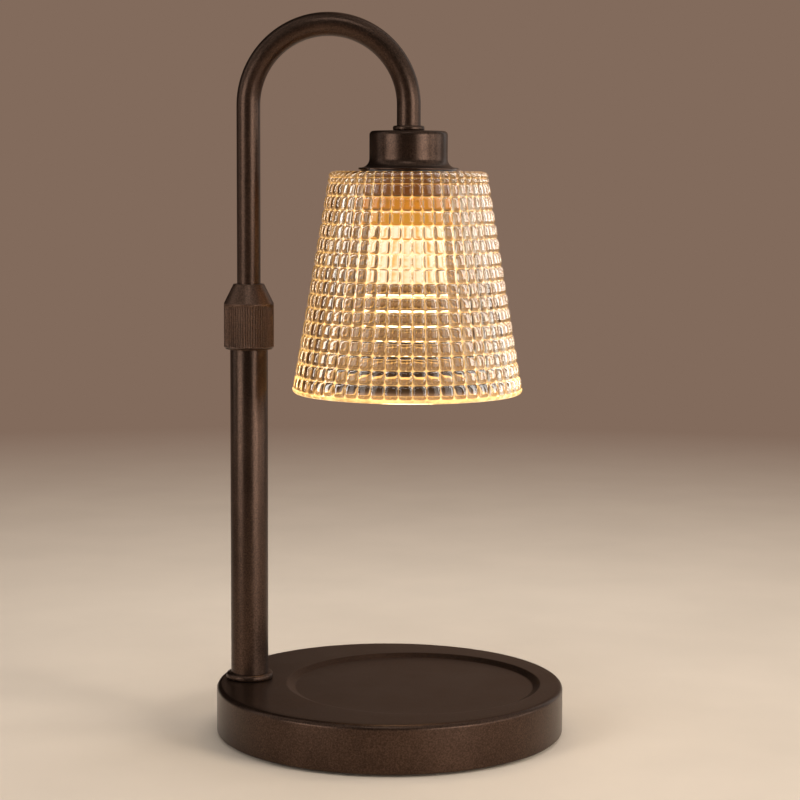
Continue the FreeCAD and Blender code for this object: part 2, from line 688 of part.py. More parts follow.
def make_ballast_plate():
    """Cast-iron disc. A crescent bay along its rim, from the cord inlet round to the post, makes
    room for the wiring and the post's nut."""
    straight = d.ballast_thickness - d.ballast_chamfer
    disc = cylinder("ballast_disc", d.ballast_radius, straight, plate_top)
    crown = primitive("Cone", "ballast_crown", Radius1=d.ballast_radius,
                      Radius2=d.ballast_radius - d.ballast_chamfer, Height=d.ballast_chamfer)
    stand(crown, 0, 0, plate_top + straight)
    bay = sector("wiring_bay", d.bay_inner_radius, base_radius, d.bay_start, d.bay_sweep, plate_top,
                 d.ballast_thickness)
    holes = [cylinder("ballast_hole_%d" % number, d.base_screw_core, d.ballast_thickness, plate_top,
                      *place) for number, place in enumerate(base_screw_places(), 1)]
    blank = joined("ballast_blank", [disc, crown])
    return node(cut("ballast_plate", blank, [bay] + holes), "ballast_plate")


def make_base_screws():
    bottom = d.pad_thickness - d.screw_head_height
    length = ballast_top + d.screw_grip - bottom
    return group("base_screws", [
        screw("base_screw_%d" % number, d.base_screw_core, d.base_screw_head, bottom,
              d.screw_head_height, length, *place)
        for number, place in enumerate(base_screw_places(), 1)])


def make_inlet_grommet():
    """Bush in the back of the cover, flush outside, with its flange inside. It is turned about
    its own Z, which then points out of the back."""
    barrel = d.inlet_barrel / 2
    flange = d.inlet_flange / 2
    bore = d.inlet_bore / 2
    flange_end = d.inlet_length - d.cover_wall - d.inlet_flange_gap
    flange_start = flange_end - d.inlet_flange_width
    body = turned("inlet_grommet", [
        (bore, 0),
        (barrel, 0),
        (barrel, flange_start),
        (flange, flange_start),
        (flange, flange_end),
        (barrel, flange_end),
        (barrel, d.inlet_length),
        (bore, d.inlet_length),
    ])
    body.Placement = FreeCAD.Placement(Vector(), FreeCAD.Rotation(Vector(1, 0, 0), -90))
    stand(body, 0, base_radius - d.inlet_recess - d.inlet_length, d.inlet_height)
    return node(body, "inlet_grommet")


def block_way(name, diameter, length, inset, side):
    """A round bar or hole along one of the terminal block's ways."""
    way = primitive("Cylinder", name, Radius=diameter / 2, Height=length)
    way.Placement = FreeCAD.Placement(Vector(), FreeCAD.Rotation(Vector(0, 1, 0), 90))
    return stand(way, d.block_start + inset, side, plate_top + d.block_axis)


def make_terminal_block():
    """Two-way connector block in the wiring bay, with a bore for each wire and a well over each
    clamping screw. The brass clamping tubes stand in the bores."""
    block = primitive("Box", "block_blank", Length=d.block_length, Width=d.block_width,
                      Height=d.block_height)
    stand(block, d.block_start, d.block_side, plate_top)
    inset = (d.block_length - d.insert_length) / 2
    tools = []
    inserts = []
    for number in range(2):
        side = d.block_side + d.block_width * (0.25 + 0.5 * number)
        tools.append(block_way("block_bore_%d" % number, d.block_bore, d.block_length, size(0), side))
        tube = block_way("insert_tube_%d" % number, d.insert_diameter, d.insert_length, inset, side)
        way = block_way("insert_way_%d" % number, d.insert_way, d.insert_length, inset, side)
        inserts.append(cut("terminal_insert_%d" % number, tube, [way]))
        for end, along in enumerate((d.block_well_inset, d.block_length - d.block_well_inset)):
            tools.append(cylinder("block_well_%d_%d" % (number, end), d.block_well / 2,
                                  d.block_height, plate_top + d.block_axis, d.block_start + along,
                                  side))
    node(cut("terminal_block", block, tools), "terminal_block")
    group("terminal_inserts", inserts)


# ---------------------------------------------------------------- post

def make_post():
    node(stand(turned("post_tube", [
        (post_inside, d.base_height),
        (post_radius, d.base_height),
        (post_radius, d.post_top),
        (post_inside, d.post_top),
    ]), post_x), "post_tube")
    ring_top = d.base_height + d.foot_ring_height
    ring_radius = d.foot_ring_diameter / 2
    ring = turned("post_foot_ring", [
        (post_radius + d.ring_play, d.base_height),
        (ring_radius, d.base_height),
        (ring_radius, ring_top),
        (post_radius + d.ring_play, ring_top),
    ])
    rounded(ring, "ring_round", d.foot_ring_round, [(ring_radius, d.base_height),
                                                    (ring_radius, ring_top)])
    node(stand(ring, post_x), "post_foot_ring")
    thread = d.stud_diameter / 2
    bore = d.stud_bore / 2
    stud_end = d.base_height - d.stud_reach
    node(stand(turned("post_stud", [
        (bore, stud_end),
        (thread - d.stud_chamfer, stud_end),
        (thread, stud_end + d.stud_chamfer),
        (thread, d.base_height),
        (post_inside, d.base_height),
        (post_inside, d.base_height + d.stud_plug_height),
        (bore, d.base_height + d.stud_plug_height),
    ]), post_x), "post_stud")
    washer_bottom = cover_inside - d.washer_thickness
    node(stand(turned("post_washer", [
        (thread + d.washer_play, washer_bottom),
        (d.washer_diameter / 2, washer_bottom),
        (d.washer_diameter / 2, cover_inside),
        (thread + d.washer_play, cover_inside),
    ]), post_x), "post_washer")
    hex_nut("post_nut", d.post_nut_flats, thread, washer_bottom - d.post_nut_height,
            d.post_nut_height, post_x)


# ---------------------------------------------------------------- clamp

def make_collet_seat():
    """Threaded insert pressed into the top of the post. The lock nut turns on it, and the collet
    stands in its pocket."""
    body = turned("collet_seat", [
        (d.insert_bore / 2, d.insert_bottom),
        (post_inside, d.insert_bottom),
        (post_inside, d.post_top),
        (d.insert_thread / 2, d.post_top),
        (d.insert_thread / 2, d.insert_top),
        (d.collet_pocket / 2, d.insert_top),
        (d.collet_pocket / 2, d.collet_pocket_floor),
        (d.insert_bore / 2, d.collet_pocket_floor),
    ])
    return node(stand(body, post_x), "collet_seat")


def make_collet():
    """Split sleeve with a conical nose. Two crossed slots make four fingers."""
    foot = d.collet_pocket_floor + d.collet_play
    body = turned("collet", [
        (d.collet_bore / 2, foot),
        (d.collet_diameter / 2, foot),
        (d.collet_diameter / 2, d.collet_shoulder),
        (d.collet_nose / 2, d.collet_top),
        (d.collet_bore / 2, d.collet_top),
    ])
    half_slot = d.collet_slot / 2
    slot = sunk(body, "finger_slot", outline(body, "finger_slot_outline", [
        (d.collet_diameter, -half_slot),
        (d.collet_diameter, half_slot),
        (-d.collet_diameter, half_slot),
        (-d.collet_diameter, -half_slot),
    ], role="XY_Plane", lift=d.collet_slot_floor), d.collet_top - d.collet_slot_floor, reverse=True)
    repeated(body, "finger_slots", [slot], 4)
    return node(stand(body, post_x), "collet")


def make_lock_nut():
    """Knurled nut with a conical nose. Its inner cone closes the collet's fingers on the arm."""
    outer = d.nut_diameter / 2
    cone_foot = d.collet_diameter / 2 + d.clamp_play
    cone_top = d.collet_nose / 2 + d.clamp_play
    thread = d.nut_thread / 2
    body = turned("lock_nut", [
        (thread, d.nut_bottom),
        (outer - d.nut_chamfer, d.nut_bottom),
        (outer, d.nut_bottom + d.nut_chamfer),
        (outer, d.nut_shoulder),
        (d.nut_nose / 2, d.nut_top),
        (d.nut_mouth / 2, d.nut_top),
        (d.nut_mouth / 2, d.collet_top + d.nut_play),
        (cone_top, d.collet_top + d.nut_play),
        (cone_foot, d.collet_shoulder),
        (thread, d.insert_top + d.nut_runout),
    ])
    groove = sunk(body, "knurl_groove", outline(body, "knurl_groove_outline", [
        (outer - d.knurl_depth, 0),
        (outer + d.knurl_overcut, d.knurl_width / 2),
        (outer + d.knurl_overcut, -d.knurl_width / 2),
    ], role="XY_Plane", lift=d.nut_bottom), d.knurl_start - d.nut_bottom, reverse=True)
    repeated(body, "knurl", [groove], d.knurl_count)
    return node(stand(body, post_x), "lock_nut")


# ---------------------------------------------------------------- gooseneck

def make_arm_tube():
    """Tube bent through a half circle: a ring section swept along one route."""
    body = new_body("arm_tube")
    route = new_sketch(body, "arm_route", "XZ_Plane")
    radius = d.reach.value / 2
    foot, bend, end = d.arm_foot.value, d.bend_height.value, d.cap_top.value
    rise = route.addGeometry(Part.LineSegment(Vector(0, foot, 0), Vector(0, bend, 0)), False)
    circle = Part.Circle(Vector(radius, bend, 0), Vector(0, 0, 1), radius)
    bow = route.addGeometry(Part.ArcOfCircle(circle, 0, math.pi), False)
    drop = route.addGeometry(Part.LineSegment(Vector(2 * radius, bend, 0), Vector(2 * radius, end, 0)),
                             False)
    route.addConstraint(Sketcher.Constraint("Tangent", rise, 2, bow, 2))
    route.addConstraint(Sketcher.Constraint("Tangent", bow, 1, drop, 1))
    route.addConstraint(Sketcher.Constraint("Vertical", rise))
    route.addConstraint(Sketcher.Constraint("Vertical", drop))
    hold(route, rise, 1, 0, d.arm_foot)
    for edge, point, amount in ((rise, 2, d.bend_height), (drop, 2, d.cap_top)):
        number = route.addConstraint(Sketcher.Constraint("DistanceY", -1, 1, edge, point, amount.value))
        bind(route, "Constraints[%d]" % number, amount)
    number = route.addConstraint(Sketcher.Constraint("DistanceX", rise, 2, drop, 1, d.reach.value))
    bind(route, "Constraints[%d]" % number, d.reach)
    section = circles(body, "arm_section", [(0, 0, d.arm_diameter), (0, 0, arm_inside * 2)],
                      lift=d.arm_foot)
    doc.recompute()
    tube = body.newObject("PartDesign::AdditivePipe", "bent_tube")
    tube.Profile = (section, [""])
    tube.Spine = (route, [])
    return node(stand(body, post_x), "arm_tube")


def make_guide_bush():
    """Bush on the arm's foot. It runs in the post, and stops the arm under the collet seat."""
    bottom = d.arm_foot - d.bush_lip
    outer = d.bush_diameter / 2
    body = turned("guide_bush", [
        (arm_inside, bottom),
        (outer - d.bush_chamfer, bottom),
        (outer, bottom + d.bush_chamfer),
        (outer, bottom + d.bush_height),
        (arm_radius, bottom + d.bush_height),
        (arm_radius, d.arm_foot),
        (arm_inside, d.arm_foot),
    ])
    return node(stand(body, post_x), "guide_bush")


def make_arm_end():
    ring_radius = d.neck_ring_diameter / 2
    ring_top = d.cap_top + d.neck_ring_height
    ring = turned("neck_ring", [
        (arm_radius + d.ring_play, d.cap_top),
        (ring_radius, d.cap_top),
        (ring_radius, ring_top),
        (arm_radius + d.ring_play, ring_top),
    ])
    rounded(ring, "neck_round", d.neck_ring_round, [(ring_radius, d.cap_top), (ring_radius, ring_top)])
    node(stand(ring, shade_x), "neck_ring")
    node(stand(turned("arm_nipple", [
        (d.nipple_bore / 2, d.nipple_bottom),
        (arm_inside - d.nipple_play, d.nipple_bottom),
        (arm_inside - d.nipple_play, d.nipple_top),
        (d.nipple_bore / 2, d.nipple_top),
    ]), shade_x), "arm_nipple")
    nut_top = d.cap_top - d.cap_wall - d.bracket_sheet
    hex_nut("nipple_nut", d.nipple_nut_flats, arm_inside, nut_top - d.nipple_nut_height,
            d.nipple_nut_height, shade_x)


# ---------------------------------------------------------------- cap and lampholder

def make_shade_cap():
    """Spun cup with a coved foot that covers the shade's hole."""
    outer = d.cap_diameter / 2
    foot = d.cap_flange / 2
    inner = outer - d.cap_wall
    skirt = d.cap_flange_top + d.cap_cove
    body = turned("shade_cap", [
        (arm_inside, d.cap_top - d.cap_wall),
        (inner, d.cap_top - d.cap_wall),
        (inner, skirt),
        (sleeve_radius + d.cap_play, d.cap_flange_top + d.cap_lip),
        (sleeve_radius + d.cap_play, d.cap_bottom),
        (foot, d.cap_bottom),
        (foot, d.cap_flange_top),
        (outer + d.cap_cove, d.cap_flange_top),
        (outer, skirt, d.cap_cove, "right"),
        (outer, d.cap_top),
        (arm_inside, d.cap_top),
    ])
    rounded(body, "cap_edge_round", d.cap_top_round, [(outer, d.cap_top)])
    return node(stand(body, shade_x), "shade_cap")


def make_holder_bracket():
    """Strap bent into a bridge: clamped under the cap by the nipple's nut, with two feet that
    the lampholder's screws bite into."""
    top = d.cap_top - d.cap_wall
    leg = d.bracket_leg
    sheet_metal = d.bracket_sheet
    reach = d.bracket_foot_reach
    foot_top = sleeve_top + sheet_metal
    body = new_body("holder_bracket")
    profile = outline(body, "bridge_profile", [
        (-leg - sheet_metal, top),
        (-leg - sheet_metal, foot_top),
        (-reach, foot_top),
        (-reach, sleeve_top),
        (-leg, sleeve_top),
        (-leg, top - sheet_metal),
        (leg, top - sheet_metal),
        (leg, sleeve_top),
        (reach, sleeve_top),
        (reach, foot_top),
        (leg + sheet_metal, foot_top),
        (leg + sheet_metal, top),
    ])
    raised(body, "bridge", profile, d.bracket_width, both_ways=True)
    sunk(body, "nipple_hole", circles(body, "nipple_hole_outline", [(0, 0, arm_inside * 2)],
                                      lift=top - sheet_metal), sheet_metal, reverse=True)
    ring = d.holder_screw_ring
    sunk(body, "tapped_holes", circles(body, "tapped_hole_outline", [
        (ring, 0, d.holder_screw_core + d.thread_play),
        (-ring, 0, d.holder_screw_core + d.thread_play),
    ], lift=sleeve_top), sheet_metal, reverse=True)
    return node(stand(body, shade_x), "holder_bracket")


def make_lampholder():
    """Ceramic holder: a flange, and a boss that holds the contacts. Each pin's head goes in
    through a round hole and turns behind a slot that only its shank fits."""
    flange = cylinder("holder_flange_disc", d.holder_flange / 2, d.holder_flange_height, d.holder_face)
    boss = cylinder("holder_boss_disc", d.holder_boss / 2, d.holder_top - d.holder_face, d.holder_face)
    lip = d.holder_lip
    pin_radius = d.pin_spacing / 2
    head = d.pin_head / 2 + d.pin_head_play
    shank = d.pin_diameter / 2 + d.pin_shank_play
    rest = d.pin_diameter / 2 + d.pin_rest_play
    chamber = d.pin_head / 2 + d.chamber_play
    chamber_bottom = d.holder_face + lip
    chamber_height = d.pin_length - lip + d.chamber_rise
    tools = []
    for number in range(2):
        side = size(180 * number)
        unlocked = side - d.pin_twist
        name = "pin_way_%d" % number
        tools.append(sector(name + "_chamber", pin_radius - chamber, pin_radius + chamber,
                            unlocked - d.chamber_margin, d.pin_twist + d.chamber_margin * 2,
                            chamber_bottom, chamber_height))
        tools.append(cylinder(name + "_entry", head, lip, d.holder_face,
                              pin_radius * cosine(unlocked), pin_radius * sine(unlocked)))
        tools.append(sector(name + "_slot", pin_radius - shank, pin_radius + shank, unlocked,
                            d.pin_twist, d.holder_face, lip))
        tools.append(cylinder(name + "_rest", rest, lip, d.holder_face,
                              pin_radius * cosine(side), pin_radius * sine(side)))
        tools.append(cylinder(name + "_wire_hole", d.wire_diameter / 2 + d.wire_play,
                              d.holder_top - d.holder_face - lip, chamber_bottom,
                              pin_radius * cosine(side)))
        along = d.holder_screw_ring * cosine(side)
        tools.append(cylinder(name + "_screw_hole", d.holder_screw_hole / 2,
                              d.holder_flange_height, d.holder_face, along))
        tools.append(cylinder(name + "_screw_sink", d.holder_screw_head / 2 + d.thread_play,
                              d.holder_screw_sink, d.holder_face, along))
    holder = cut("lampholder", joined("holder_blank", [flange, boss]), tools)
    node(stand(holder, shade_x), "lampholder")

    plate_bottom = chamber_bottom + chamber_height - d.contact_thickness - d.contact_gap
    half_width = d.contact_width / 2
    plates = [sector("contact_%d" % number, pin_radius - half_width, pin_radius + half_width,
                     size(180 * number) - d.pin_twist - d.contact_lead, d.contact_sweep,
                     plate_bottom, d.contact_thickness) for number in range(2)]
    stand(group("lampholder_contacts", plates), shade_x)


def make_holder_screws():
    bottom = d.holder_face + d.holder_screw_inset
    length = sleeve_top + d.bracket_sheet - bottom + d.holder_screw_proud
    stand(group("holder_screws", [
        screw("holder_screw_%d" % number, d.holder_screw_core, d.holder_screw_head, bottom,
              d.holder_screw_cap, length, d.holder_screw_ring * side, 0)
        for number, side in enumerate((1, -1))]), shade_x)


def make_shade_sleeve():
    """Threaded sleeve that hangs from the lampholder's flange and passes through the glass."""
    ring_top = sleeve_top - d.sleeve_wall
    inner_lip = d.holder_boss / 2 + d.sleeve_play
    body = turned("shade_sleeve", [
        (inner_lip, ring_top),
        (sleeve_inside, ring_top),
        (sleeve_inside, d.sleeve_bottom),
        (sleeve_radius, d.sleeve_bottom),
        (sleeve_radius, sleeve_top),
        (inner_lip, sleeve_top),
    ])
    ring = d.holder_screw_ring
    sunk(body, "screw_passages", circles(body, "screw_passage_outline", [
        (ring, 0, d.holder_screw_hole),
        (-ring, 0, d.holder_screw_hole),
    ], lift=ring_top), d.sleeve_wall, reverse=True)
    return node(stand(body, shade_x), "shade_sleeve")


def make_shade_ring():
    """Retaining ring on the sleeve, with finger grips round its edge."""
    outer = d.ring_diameter / 2
    top = shade_ceiling - d.ring_gap
    bottom = top - d.ring_height
    body = turned("shade_ring", [
        (d.ring_bore / 2, bottom),
        (outer, bottom),
        (outer, top),
        (d.ring_bore / 2, top),
    ])
    grip = sunk(body, "grip", circles(body, "grip_outline",
                                      [(outer + d.grip_offset, 0, d.grip_radius * 2)],
                                      lift=bottom), d.ring_height - d.grip_collar, reverse=True)
    repeated(body, "grips", [grip], d.grip_count)
    return node(stand(body, shade_x), "shade_ring")


# ---------------------------------------------------------------- shade

def glass_radius(height):
    """Radius of the glass over the crests of its cells."""
    return d.shade_bottom_radius - shade_slope * (height - d.shade_bottom)


def make_shade():
    """Pressed glass: a thick truncated cone with a flat top, open below, and a waffle of panes
    round its outside. Every column is cut flat, with grooves across it, and straight flutes part
    the columns."""
    wall = d.shade_wall
    ceiling_radius = d.shade_top_radius + shade_slope * d.shade_plate - wall
    grooves = [d.waffle_low + d.waffle_pitch * row for row in range(int(d.waffle_rows.value) + 1)]
    grooves += [d.waffle_collar, d.waffle_high]
    low, high = grooves[0], grooves[-1]
    groove_low = glass_radius(low) - d.ring_groove
    groove_high = glass_radius(high) - d.ring_groove
    body = turned("shade", [
        (d.shade_hole / 2, shade_ceiling),
        (ceiling_radius, shade_ceiling),
        (d.shade_bottom_radius - wall, d.shade_bottom),
        (d.shade_rim_flat, d.shade_bottom),
        (groove_low + d.bead_ledge, low - d.bead_ledge, d.shade_rim_bead, "left"),
        (groove_low + d.bead_ledge, low),
        (glass_radius(low) + d.blank_margin, low),
        (glass_radius(high) + d.blank_margin, high),
        (groove_high + d.bead_ledge, high),
        (groove_high + d.bead_ledge, high + d.bead_ledge),
        (d.shade_top_flat, shade_top, d.shade_top_bead, "left"),
        (d.shade_hole / 2, shade_top),
    ])
    rounded(body, "glass_rim", d.shade_rim_round, [(d.shade_bottom_radius - wall, d.shade_bottom)])
    column = [(groove_low, low)]
    for below, above in zip(grooves, grooves[1:]):
        column.append((glass_radius(below + d.ring_bevel), below + d.ring_bevel))
        column.append((glass_radius(above - d.ring_bevel), above - d.ring_bevel))
        column.append((glass_radius(above) - d.ring_groove, above))
    outside = glass_radius(low) + d.blank_margin * 2
    column += [(outside, high), (outside, low)]
    half_pitch = size(180) / d.waffle_columns
    width = glass_radius(low) * sine(half_pitch) * 2 + d.column_overlap
    panes = sunk(body, "panes", outline(body, "column_outline", column), width, both_ways=True)
    foot = glass_radius(low)
    corner = outline(body, "flute_outline", [
        (foot - d.flute_groove, 0),
        (foot + d.flute_groove, d.flute_bevel * 2),
        (foot + d.flute_groove, -d.flute_bevel * 2),
    ], role="XY_Plane", lift=low)
    corner.AttachmentOffset = FreeCAD.Placement(corner.AttachmentOffset.Base,
                                                FreeCAD.Rotation(Vector(0, 0, 1), half_pitch.value))
    bind(corner, "AttachmentOffset.Rotation.Angle", half_pitch)
    flute = sunk(body, "flute", corner, high - low, slant=(-shade_slope * cosine(half_pitch),
                                                           -shade_slope * sine(half_pitch)))
    repeated(body, "waffle", [panes, flute], d.waffle_columns)
    node(stand(body, shade_x), "shade")
    gasket_edge = d.cap_flange / 2 - d.gasket_inset
    node(stand(turned("shade_gasket", [
        (sleeve_radius + d.cap_play, shade_top),
        (gasket_edge, shade_top),
        (gasket_edge, d.cap_bottom),
        (sleeve_radius + d.cap_play, d.cap_bottom),
    ]), shade_x), "shade_gasket")


# ---------------------------------------------------------------- bulb

def make_bulb():
    """Two-pin reflector bulb: a glass bowl and its front glass, a ceramic base with two headed
    pins, and the burner inside."""
    rim = d.bulb_diameter / 2
    rim_top = d.bulb_front + d.bulb_rim
    neck = d.bulb_neck_radius
    glass = d.bulb_glass
    node(stand(turned("bulb_reflector", [
        (rim - glass, d.bulb_front),
        (rim, d.bulb_front),
        (rim, rim_top),
        (neck, d.bulb_neck, d.bulb_bowl_radius, "left"),
        (d.burner_hole / 2, d.bulb_neck),
        (d.burner_hole / 2, d.bulb_neck - glass),
        (neck - glass, d.bulb_neck - glass),
        (rim - glass, rim_top, d.bulb_bowl_radius - glass, "right"),
    ]), shade_x), "bulb_reflector")
    lens_face = d.bulb_front + d.lens_inset
    node(stand(turned("bulb_lens", [
        (0, lens_face),
        (rim - glass, lens_face),
        (rim - glass, lens_face + d.lens_edge),
        (0, lens_face + d.lens_middle),
    ]), shade_x), "bulb_lens")
    base_top = d.holder_face - d.bulb_seat
    base = turned("bulb_base", [
        (0, d.bulb_neck),
        (neck, d.bulb_neck),
        (d.bulb_base_radius, d.bulb_neck + d.bulb_base_cone),
        (d.bulb_base_radius, base_top - d.bulb_shoulder),
        (d.bulb_base_radius - d.bulb_shoulder, base_top),
        (0, base_top),
    ])
    for name, side in (("flat_back", 1), ("flat_front", -1)):
        sunk(base, name, outline(base, name + "_outline", [
            (-neck * 2, d.bulb_base_flat * side),
            (neck * 2, d.bulb_base_flat * side),
            (neck * 2, d.bulb_base_flat * side * 2),
            (-neck * 2, d.bulb_base_flat * side * 2),
        ], role="XY_Plane", lift=d.bulb_neck + d.bulb_flat_start), d.holder_face - d.bulb_neck,
             reverse=True)
    node(stand(base, shade_x), "bulb_base")
    pins = []
    for number, side in enumerate((1, -1)):
        along = d.pin_spacing / 2 * side
        shank = cylinder("pin_shank_%d" % number, d.pin_diameter / 2, d.pin_length, base_top, along)
        head = cylinder("pin_head_%d" % number, d.pin_head / 2, d.pin_head_height,
                        base_top + d.pin_length - d.pin_head_height, along)
        pins.append(joined("bulb_pin_%d" % number, [shank, head]))
    stand(group("bulb_pins", pins), shade_x)
    tip = d.bulb_neck - d.burner_length
    node(stand(turned("bulb_capsule", [
        (0, tip),
        (d.burner_radius, tip + d.burner_radius, d.burner_radius, "left"),
        (d.burner_radius, d.bulb_neck),
        (0, d.bulb_neck),
    ]), shade_x), "bulb_capsule")


# ---------------------------------------------------------------- leads

def make_leads():
    """The lamp's own lead runs from the terminal block along the bay, up the stud and the post,
    through the gooseneck, and splits over the lampholder."""
    post = post_x.value
    shade = shade_x.value
    thick = d.lead_diameter.value
    block_end = d.block_start.value
    block_middle = (d.block_side + d.block_width / 2).value
    floor = plate_top.value + thick / 2 + 0.3
    stud_top = (d.base_height + d.stud_plug_height).value + 1.5
    node(lead("base_lead", [
        (block_end, block_middle, floor),
        (post + 18, block_middle, floor),
        (post - 1, block_middle - 24, floor),
        (post, 14, floor),
        (post, 0, floor),
        (post, 0, stud_top),
    ], thick), "base_lead")
    arm_start = d.arm_foot.value - d.bush_lip.value - 1
    slack = arm_start - stud_top
    sway = 2.6
    node(lead("post_lead", [
        (post, 0, stud_top),
        (post, 0, stud_top + slack * 0.12),
        (post + sway, 0, stud_top + slack * 0.34),
        (post - sway, 0, stud_top + slack * 0.66),
        (post, 0, stud_top + slack * 0.88),
        (post, 0, arm_start),
    ], thick), "post_lead")
    bow = d.reach.value / 2
    bend = d.bend_height.value
    arm_end = d.nipple_bottom.value
    route = Part.Wire([
        Part.LineSegment(Vector(post, 0, arm_start), Vector(post, 0, bend)).toShape(),
        Part.Arc(Vector(post, 0, bend), Vector(post + bow, 0, bend + bow),
                 Vector(shade, 0, bend)).toShape(),
        Part.LineSegment(Vector(shade, 0, bend), Vector(shade, 0, arm_end)).toShape(),
    ])
    ring = Part.Wire([Part.Circle(Vector(post, 0, arm_start), Vector(0, 0, 1), thick / 2).toShape()])
    arm_lead = doc.addObject("Part::Feature", "arm_lead")
    arm_lead.Shape = route.makePipeShell([ring], True, False)
    node(arm_lead, "arm_lead")
    wire = d.wire_diameter.value
    pin = d.pin_spacing.value / 2
    top = d.holder_top.value
    wires = []
    for number, side in enumerate((1, -1)):
        start = shade + side * (wire / 2 + 0.15)
        wires.append(lead("holder_wire_%d" % number, [
            (start, 0, arm_end),
            (start, 0, arm_end - 1.5),
            (shade + side * pin, 0, top + 1.2),
            (shade + side * pin, 0, top - 0.7),
        ], wire))
    group("holder_leads", wires)


# ---------------------------------------------------------------- build

make_base_cover()
drilled_disc("base_pad", d.pad_radius, size(0), d.pad_thickness, d.base_screw_head + d.head_clearance)
drilled_disc("bottom_plate", d.plate_radius, d.pad_thickness, d.plate_thickness,
             d.base_screw_core + d.screw_clearance)
make_ballast_plate()
make_base_screws()
make_inlet_grommet()
make_terminal_block()
make_post()
make_collet_seat()
make_collet()
make_lock_nut()
make_arm_tube()
make_guide_bush()
make_arm_end()
make_shade_cap()
make_holder_bracket()
make_lampholder()
make_holder_screws()
make_shade_sleeve()
make_shade_ring()
make_shade()
make_bulb()
make_leads()

doc.recompute()
for thing in doc.Objects:
    if "Invalid" in thing.State or "Error" in thing.State:
        raise RuntimeError("%s is %s" % (thing.Label, thing.State))
for name, thing in nodes.items():
    if thing.Shape.isNull() or not thing.Shape.isValid() or not thing.Shape.Solids:
        raise RuntimeError(name + " has no valid solid")

os.makedirs("parts", exist_ok=True)
for name, thing in nodes.items():
    thing.Shape.exportStep(os.path.join("parts", name + ".step"))
print(len(nodes), "nodes written")
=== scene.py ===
import math

import bpy
import numpy as np
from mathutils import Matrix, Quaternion, Vector


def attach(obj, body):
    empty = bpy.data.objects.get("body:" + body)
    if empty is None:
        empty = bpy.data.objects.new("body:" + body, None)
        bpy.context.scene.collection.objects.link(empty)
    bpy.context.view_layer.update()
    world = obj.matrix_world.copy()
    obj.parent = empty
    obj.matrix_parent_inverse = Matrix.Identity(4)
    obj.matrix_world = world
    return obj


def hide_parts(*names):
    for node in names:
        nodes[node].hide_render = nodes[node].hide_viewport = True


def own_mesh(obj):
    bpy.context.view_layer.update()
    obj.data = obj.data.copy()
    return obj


# The looks of a candle warmer lamp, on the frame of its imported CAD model. Shapes are written in
# millimetres and turned into metres when their meshes are made.

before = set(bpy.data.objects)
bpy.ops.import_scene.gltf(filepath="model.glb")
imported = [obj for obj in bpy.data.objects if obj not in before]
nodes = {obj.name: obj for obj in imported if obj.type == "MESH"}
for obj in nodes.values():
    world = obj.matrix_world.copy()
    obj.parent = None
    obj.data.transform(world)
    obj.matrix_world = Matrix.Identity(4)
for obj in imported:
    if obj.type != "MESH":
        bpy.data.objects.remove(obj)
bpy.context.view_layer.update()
scene = bpy.context.scene
scene.view_settings.view_transform = "Standard"

MM = 0.001
POST_X = -61.5
SHADE_X = 6.9
SEAT_X = 10.4

BASE_RADIUS = 75.0
BASE_TOP = 21.5
SEAT_Z = 19.9
SEAT_REACH = 57.5
POST_RADIUS = 8.1
TUBE_RADIUS = 5.05
TUBE_BORE = 4.05
BEND_RADIUS = 34.2
BEND_Z = 269.57
CAP_TOP = 259.1


# ---------------------------------------------------------------- camera

CAMERA_AZIMUTH = 4.5
CAMERA_PITCH = 6.2
CAMERA_ROLL = 0.3
CAMERA_BACK = 0.8974
CAMERA_SIDEWAYS = 0.0038
CAMERA_HEIGHT = 0.2420
CAMERA_LENS = 94.65


def make_camera():
    azimuth = math.radians(CAMERA_AZIMUTH)
    pitch = math.radians(CAMERA_PITCH)
    sideways = Vector((math.cos(azimuth), math.sin(azimuth), 0))
    forward = Vector((-math.sin(azimuth), math.cos(azimuth), 0))
    data = bpy.data.cameras.new("camera")
    camera = bpy.data.objects.new("camera", data)
    scene.collection.objects.link(camera)
    data.sensor_width = 36.0
    data.lens = CAMERA_LENS
    data.clip_start = 0.01
    camera.location = (forward * -CAMERA_BACK + sideways * CAMERA_SIDEWAYS
                       + Vector((0, 0, CAMERA_HEIGHT)))
    look = forward * math.cos(pitch) - Vector((0, 0, math.sin(pitch)))
    roll = Quaternion((0, 0, 1), math.radians(CAMERA_ROLL))
    camera.rotation_euler = (look.to_track_quat("-Z", "Y") @ roll).to_euler()
    scene.camera = camera


# ---------------------------------------------------------------- shader nodes

def math_node(tree, operation, first, second=0.0):
    made = tree.nodes.new("ShaderNodeMath")
    made.operation = operation
    for number, value in enumerate((first, second)):
        if isinstance(value, (int, float)):
            made.inputs[number].default_value = value
        else:
            tree.links.new(value, made.inputs[number])
    return made.outputs["Value"]


def range_node(tree, source, low, high, at_low, at_high):
    """Values from low, where the source is at_low, to high, where it is at_high."""
    change = tree.nodes.new("ShaderNodeMapRange")
    for key, value in (("From Min", at_low), ("From Max", at_high), ("To Min", low),
                       ("To Max", high)):
        change.inputs[key].default_value = value
    tree.links.new(source, change.inputs["Value"])
    return change.outputs["Result"]


def ramp_node(tree, source, stops):
    """A colour ramp, from stops of (position, (red, green, blue, alpha))."""
    ramp = tree.nodes.new("ShaderNodeValToRGB")
    elements = ramp.color_ramp.elements
    while len(elements) < len(stops):
        elements.new(0.5)
    for element, (position, color) in zip(elements, stops):
        element.position = position
        element.color = color
    tree.links.new(source, ramp.inputs["Fac"])
    return ramp


